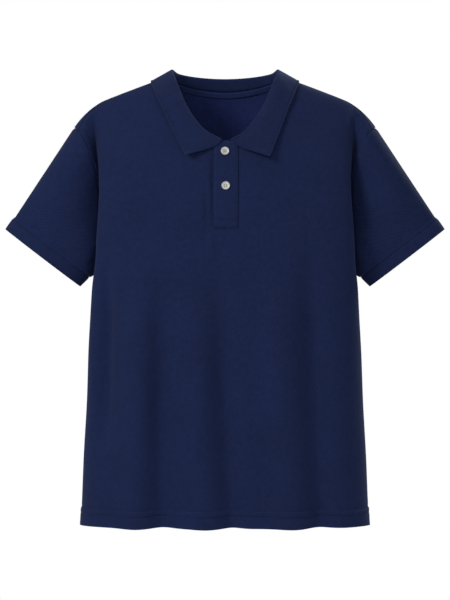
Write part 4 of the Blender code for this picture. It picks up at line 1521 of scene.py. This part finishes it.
# ---------------------------------------------------------------- buttons
@dataclass
class Button:
    """A sewn-on four-hole shirt button on the upper placket strip.

    Attributes:
        node: the button's node.
        x, z: where it is.
        radius, height: its size.
        rim: width of the raised rim.
        hole_radius, hole_spacing: the sewing holes, and how far each is from both middle lines.
        stand_off: its back, from the panel's outer face.
    """

    node: str
    x: float
    z: float
    resin: Finish
    thread: Finish
    radius: float = 6.5
    height: float = 2.6
    rim: float = 1.5
    hole_radius: float = 0.85
    hole_spacing: float = 1.5
    stand_off: float = 2.3

    def matrix(self) -> Matrix:
        """From the button's own frame, in millimetres with +Z out of the shirt, to the scene."""
        face = FORM.face_point(Side.FRONT, np.array([self.x]), np.array([self.z]))
        out = FORM.outside(face)[1][0]
        turn = Vector(out).to_track_quat("Z", "Y").to_matrix().to_4x4()
        centre = Vector(face[0] + out * (self.stand_off + self.height / 2))
        return Matrix.Scale(MM, 4) @ Matrix.Translation(centre) @ turn

    def disc(self) -> bmesh.types.BMesh:
        """The turned disc, spun from radii and heights: a raised rounded rim around a dished middle."""
        half = self.height / 2
        inner = self.radius - self.rim
        profile = (
            (0.0, half - 0.75),
            (inner * 0.6, half - 0.72),
            (inner - 0.3, half - 0.5),
            (inner + 0.35, half - 0.08),
            (self.radius - 0.65, half),
            (self.radius - 0.2, half - 0.25),
            (self.radius, half - 0.8),
            (self.radius - 0.2, 0.0),
            (self.radius - 1.4, -half + 0.2),
            (self.radius - 2.2, -half),
            (0.0, -half),
        )
        shape = bmesh.new()
        verts = [shape.verts.new((r, 0.0, z)) for r, z in profile]
        edges = [shape.edges.new(pair) for pair in zip(verts, verts[1:])]
        bmesh.ops.spin(
            shape,
            geom=verts + edges,
            cent=(0, 0, 0),
            axis=(0, 0, 1),
            angle=2 * math.pi,
            steps=48,
            use_merge=True,
        )
        bmesh.ops.remove_doubles(shape, verts=shape.verts[:], dist=0.001)
        bmesh.ops.recalc_face_normals(shape, faces=shape.faces[:])
        return shape

    def drill(self, thing: bpy.types.Object, matrix: Matrix) -> None:
        """Cuts the four sewing holes.

        Args:
            thing: the disc.
            matrix: from the button's own frame to the scene.
        """
        shape = bmesh.new()
        for right, up in ((1, 1), (-1, 1), (-1, -1), (1, -1)):
            place = Matrix.Translation((right * self.hole_spacing, up * self.hole_spacing, 0.0))
            bmesh.ops.create_cone(
                shape,
                cap_ends=True,
                segments=16,
                radius1=self.hole_radius,
                radius2=self.hole_radius,
                depth=3 * self.height,
                matrix=matrix @ place,
            )
        mesh = bpy.data.meshes.new("holes")
        shape.to_mesh(mesh)
        shape.free()
        cutter = bpy.data.objects.new("holes", mesh)
        bpy.context.scene.collection.objects.link(cutter)
        cut = thing.modifiers.new("holes", "BOOLEAN")
        cut.object = cutter
        cut.solver = "EXACT"
        graph = bpy.context.evaluated_depsgraph_get()
        done = bpy.data.meshes.new_from_object(thing.evaluated_get(graph))
        thing.modifiers.clear()
        thing.data = done
        bpy.data.objects.remove(cutter, do_unlink=True)
        done.shade_smooth()
        done.set_sharp_from_angle(angle=math.radians(35))

    def sewing(self, matrix: Matrix) -> bmesh.types.BMesh:
        """Two thread bars through the holes, and the shank of thread under the button."""
        shape = bmesh.new()
        half = self.height / 2
        for side in (-1, 1):
            for strand in (-0.28, 0.28):
                place = Matrix.Translation((side * self.hole_spacing + strand, 0.0, half - 0.62))
                size = Matrix.Diagonal((0.3, self.hole_spacing + 0.35, 0.42, 1.0))
                bmesh.ops.create_uvsphere(
                    shape, u_segments=10, v_segments=8, radius=1.0, matrix=matrix @ place @ size
                )
        place = Matrix.Translation((0.0, 0.0, -half - 0.25))
        bmesh.ops.create_cone(
            shape,
            cap_ends=True,
            segments=16,
            radius1=2.1,
            radius2=1.9,
            depth=1.0,
            matrix=matrix @ place,
        )
        return shape

    def build(self) -> list[bpy.types.Object]:
        """The finished button and its thread in the frame."""
        matrix = self.matrix()
        shape = self.disc()
        bmesh.ops.transform(shape, matrix=matrix, verts=shape.verts[:])
        disc = make_object(f"{self.node}_disc", shape, self.resin.material())
        self.drill(disc, matrix)
        dress(disc, self.node)
        thread = make_object(f"{self.node}_thread", self.sewing(matrix), self.thread.material())
        return [disc, dress(thread)]


# ---------------------------------------------------------------- studio
@dataclass
class Lamp:
    """A soft area light.

    Attributes:
        place, aim: where it stands and what it points at, in metres.
        size: its side in metres.
        power: in watts.
    """

    name: str
    place: tuple
    aim: tuple
    size: float
    power: float

    def build(self) -> None:
        """Adds the light."""
        data = bpy.data.lights.new(self.name, "AREA")
        data.shape = "DISK"
        data.size = self.size
        data.energy = self.power
        lamp = bpy.data.objects.new(self.name, data)
        lamp.location = self.place
        direction = Vector(self.aim) - Vector(self.place)
        lamp.rotation_euler = direction.to_track_quat("-Z", "Y").to_euler()
        bpy.context.scene.collection.objects.link(lamp)


@dataclass
class Studio:
    """A white studio with a pale floor, soft lamps and the camera."""

    camera_place: tuple = (0.0, -4.0, -0.3584)
    lens: float = 150.0
    sensor: float = 36.0
    floor_z: float = -1.1
    floor_radius: float = 1.4
    soft_colour: tuple = (0.93, 0.95, 1.0)
    soft_strength: float = 0.4
    lamps: tuple = (
        Lamp("key", (-2.1, -2.1, 1.3), (0.0, 0.0, -0.35), 1.2, 51.0),
        Lamp("front", (-0.3, -3.4, 0.5), (0.0, 0.0, -0.25), 1.0, 12.0),
        Lamp("fill", (2.2, -2.4, 0.1), (0.0, 0.0, -0.35), 1.8, 5.0),
        Lamp("back", (1.9, 1.9, 1.2), (0.0, 0.0, -0.3), 1.2, 36.0),
    )

    def camera(self) -> None:
        """A level camera straight in front of the shirt."""
        data = bpy.data.cameras.new("camera")
        data.lens = self.lens
        data.sensor_width = self.sensor
        data.sensor_fit = "AUTO"
        camera = bpy.data.objects.new("camera", data)
        camera.location = self.camera_place
        camera.rotation_euler = (math.pi / 2, 0.0, 0.0)
        bpy.context.scene.collection.objects.link(camera)
        bpy.context.scene.camera = camera

    def world(self) -> None:
        """White to the eye, and a softer light on the shirt."""
        world = bpy.data.worlds.new("studio")
        bpy.context.scene.world = world
        world.use_nodes = True
        tree = world.node_tree
        tree.nodes.clear()
        seen = add_node(tree, "ShaderNodeLightPath")
        white, soft = (
            add_node(tree, "ShaderNodeBackground", inputs={"Color": (*colour, 1.0), "Strength": strength})
            for colour, strength in (((1.0, 1.0, 1.0), 1.0), (self.soft_colour, self.soft_strength))
        )
        mixed = add_node(
            tree,
            "ShaderNodeMixShader",
            inputs={0: seen.outputs["Is Camera Ray"], 1: soft.outputs[0], 2: white.outputs[0]},
        )
        add_node(tree, "ShaderNodeOutputWorld", inputs={"Surface": mixed.outputs[0]})

    def floor(self) -> None:
        """A plain pale disc under the shirt."""
        shape = bmesh.new()
        bmesh.ops.create_circle(
            shape,
            cap_ends=True,
            segments=96,
            radius=self.floor_radius,
            matrix=Matrix.Translation((0.0, 0.0, self.floor_z)),
        )
        material = bpy.data.materials.new("painted_floor")
        material.use_nodes = True
        shader = material.node_tree.nodes["Principled BSDF"]
        shader.inputs["Base Color"].default_value = linear("#e9e9ea")
        shader.inputs["Roughness"].default_value = 0.8
        make_object("floor", shape, material)

    def build(self) -> None:
        """Sets up the studio."""
        bpy.context.scene.view_settings.view_transform = "Standard"
        self.camera()
        self.world()
        self.floor()
        for lamp in self.lamps:
            lamp.build()


def declare_sheets(things: dict[str, bpy.types.Object]) -> None:
    """States the cut of every cloth piece: width and length in metres, and its area in square metres."""
    cuts = {
        "front_panel_cloth": (0.60, 0.74, 0.37),
        "back_panel_cloth": (0.62, 0.76, 0.38),
        "sleeve_left_cloth": (0.46, 0.20, 0.050),
        "sleeve_right_cloth": (0.46, 0.20, 0.050),
        "cuff_left_rib": (0.36, 0.026, None),
        "cuff_right_rib": (0.36, 0.026, None),
        "collar_rib": (0.60, 0.085, 0.036),
        "neck_tape_twill": (0.25, 0.01, None),
        "placket_upper_cloth": (0.038, 0.138, None),
        "placket_under_cloth": (0.034, 0.137, None),
    }
    for name, (width, length, area) in cuts.items():
        thing = things[name]
        layers = sum(polygon.area for polygon in thing.data.polygons)
        LOG.info("%s: %.4f square metres of cloth show, cut %.4f", name, layers, area or width * length)


def main() -> None:
    """Builds the studio and the shirt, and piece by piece."""
    logging.basicConfig(level=logging.INFO, format="%(message)s", stream=sys.stdout)
    Studio().build()

    # Dyed cotton pique: matt and deep, with painted shade between its lozenges.
    pique = PiqueKnit("navy_cotton_pique", "#1c284f", "#151f3e", 0.9, 0.12, 0.12)
    # The pique's other side: a lighter and greyer navy, painted light that brightens the shaded inside of the
    # body and sleeves.
    reverse = PiqueKnit("navy_pique_reverse_painted_light", "#28346a", "#202a55", 0.92, 0.12, 0.12)
    # Flat-knitted cotton rib: a touch brighter, with a soft bloom along its rolled and raised edges.
    rib = FlatRib("navy_cotton_rib", "#1c2850", "#141d3a", 0.88, 0.12, 0.2)
    # Woven cotton tape: smoother than the knit, and painted paler as light on the shaded inside of the back
    # neck.
    tape = TwillTape("navy_cotton_tape_painted_light", "#283567", "#1e294f", 0.8, 0.15, 0.12)
    # Spun polyester thread: a slight lustre, and a colour paler than the cloth, partly its own and partly a
    # painted highlight that draws each row of stitches as a pale line.
    thread = CoreThread("navy_polyester_thread", "#2c3864", "#20294b", 0.6, 0.35, 0.2)
    # Cast polyester resin: polished off-white with faint clouds, and a matt thread of the same tone.
    resin = CastResin("off_white_resin", "#cfcdc6", "#c2bfb6", 0.3, 0.5, 0.0, "#ffffff")
    white_thread = CoreThread("off_white_thread", "#b9b6ad", "#a5a299", 0.65, 0.3, 0.1, "#ffffff")

    front_creases = (
        Crease((-18.8, -120.0), (-19.0, -254.0), 3.4, -4.2),
        Crease((22.5, -130.0), (22.5, -252.0), 3.4, -1.6),
        Crease((-29.0, -170.0), (-27.5, -270.0), 5.0, -2.4),
        Crease((-23.0, -246.0), (-21.0, -300.0), 4.0, 2.4),
        Crease((-186.0, -270.0), (-192.0, -600.0), 12.0, -12.0),
        Crease((-205.0, -290.0), (-213.0, -620.0), 8.0, 2.5),
        Crease((-196.0, -176.0), (-120.0, -140.0), 11.0, -1.5),
        Crease((-200.0, -205.0), (-112.0, -196.0), 12.0, 1.6),
        Crease((-200.0, -232.0), (-120.0, -246.0), 11.0, -1.6),
        Crease((198.0, -180.0), (128.0, -150.0), 11.0, -1.6),
        Crease((200.0, -212.0), (130.0, -205.0), 12.0, 1.7),
        Crease((200.0, -240.0), (140.0, -262.0), 12.0, -1.8),
    )
    back_creases = (
        Crease((-190.0, -180.0), (-100.0, -140.0), 14.0, -1.8),
        Crease((192.0, -190.0), (110.0, -150.0), 14.0, 1.8),
        Crease((-196.0, -240.0), (-120.0, -262.0), 12.0, 1.6),
        Crease((196.0, -235.0), (120.0, -252.0), 12.0, -1.6),
    )
    front = BodyPanel(Side.FRONT, pique, reverse, creases=front_creases)
    back = BodyPanel(Side.BACK, pique, reverse, valley=5.0, creases=back_creases)
    upper = Placket("placket_upper", pique, -17.6, 20.3, -247.0, 1.2, top_rise=2.8, sunk=0.8)
    under = Placket("placket_under", pique, -17.0, 17.0, -244.0, -2.4)
    made = [front.build(), back.build()]
    for hand in Hand:
        made += Sleeve(hand, pique, reverse, rib).build()
    made.append(Collar(rib).build())
    made.append(NeckTape(tape).build())
    made += [upper.build(), under.build()]
    made += Stitching(thread, upper).build([front, back])
    for node, x, z in (("button_upper", 0.0, -125.8), ("button_lower", 1.1, -180.2)):
        made += Button(node, x, z, resin, white_thread).build()
    declare_sheets({thing.name: thing for thing in made})


if __name__ == "__main__":
    main()
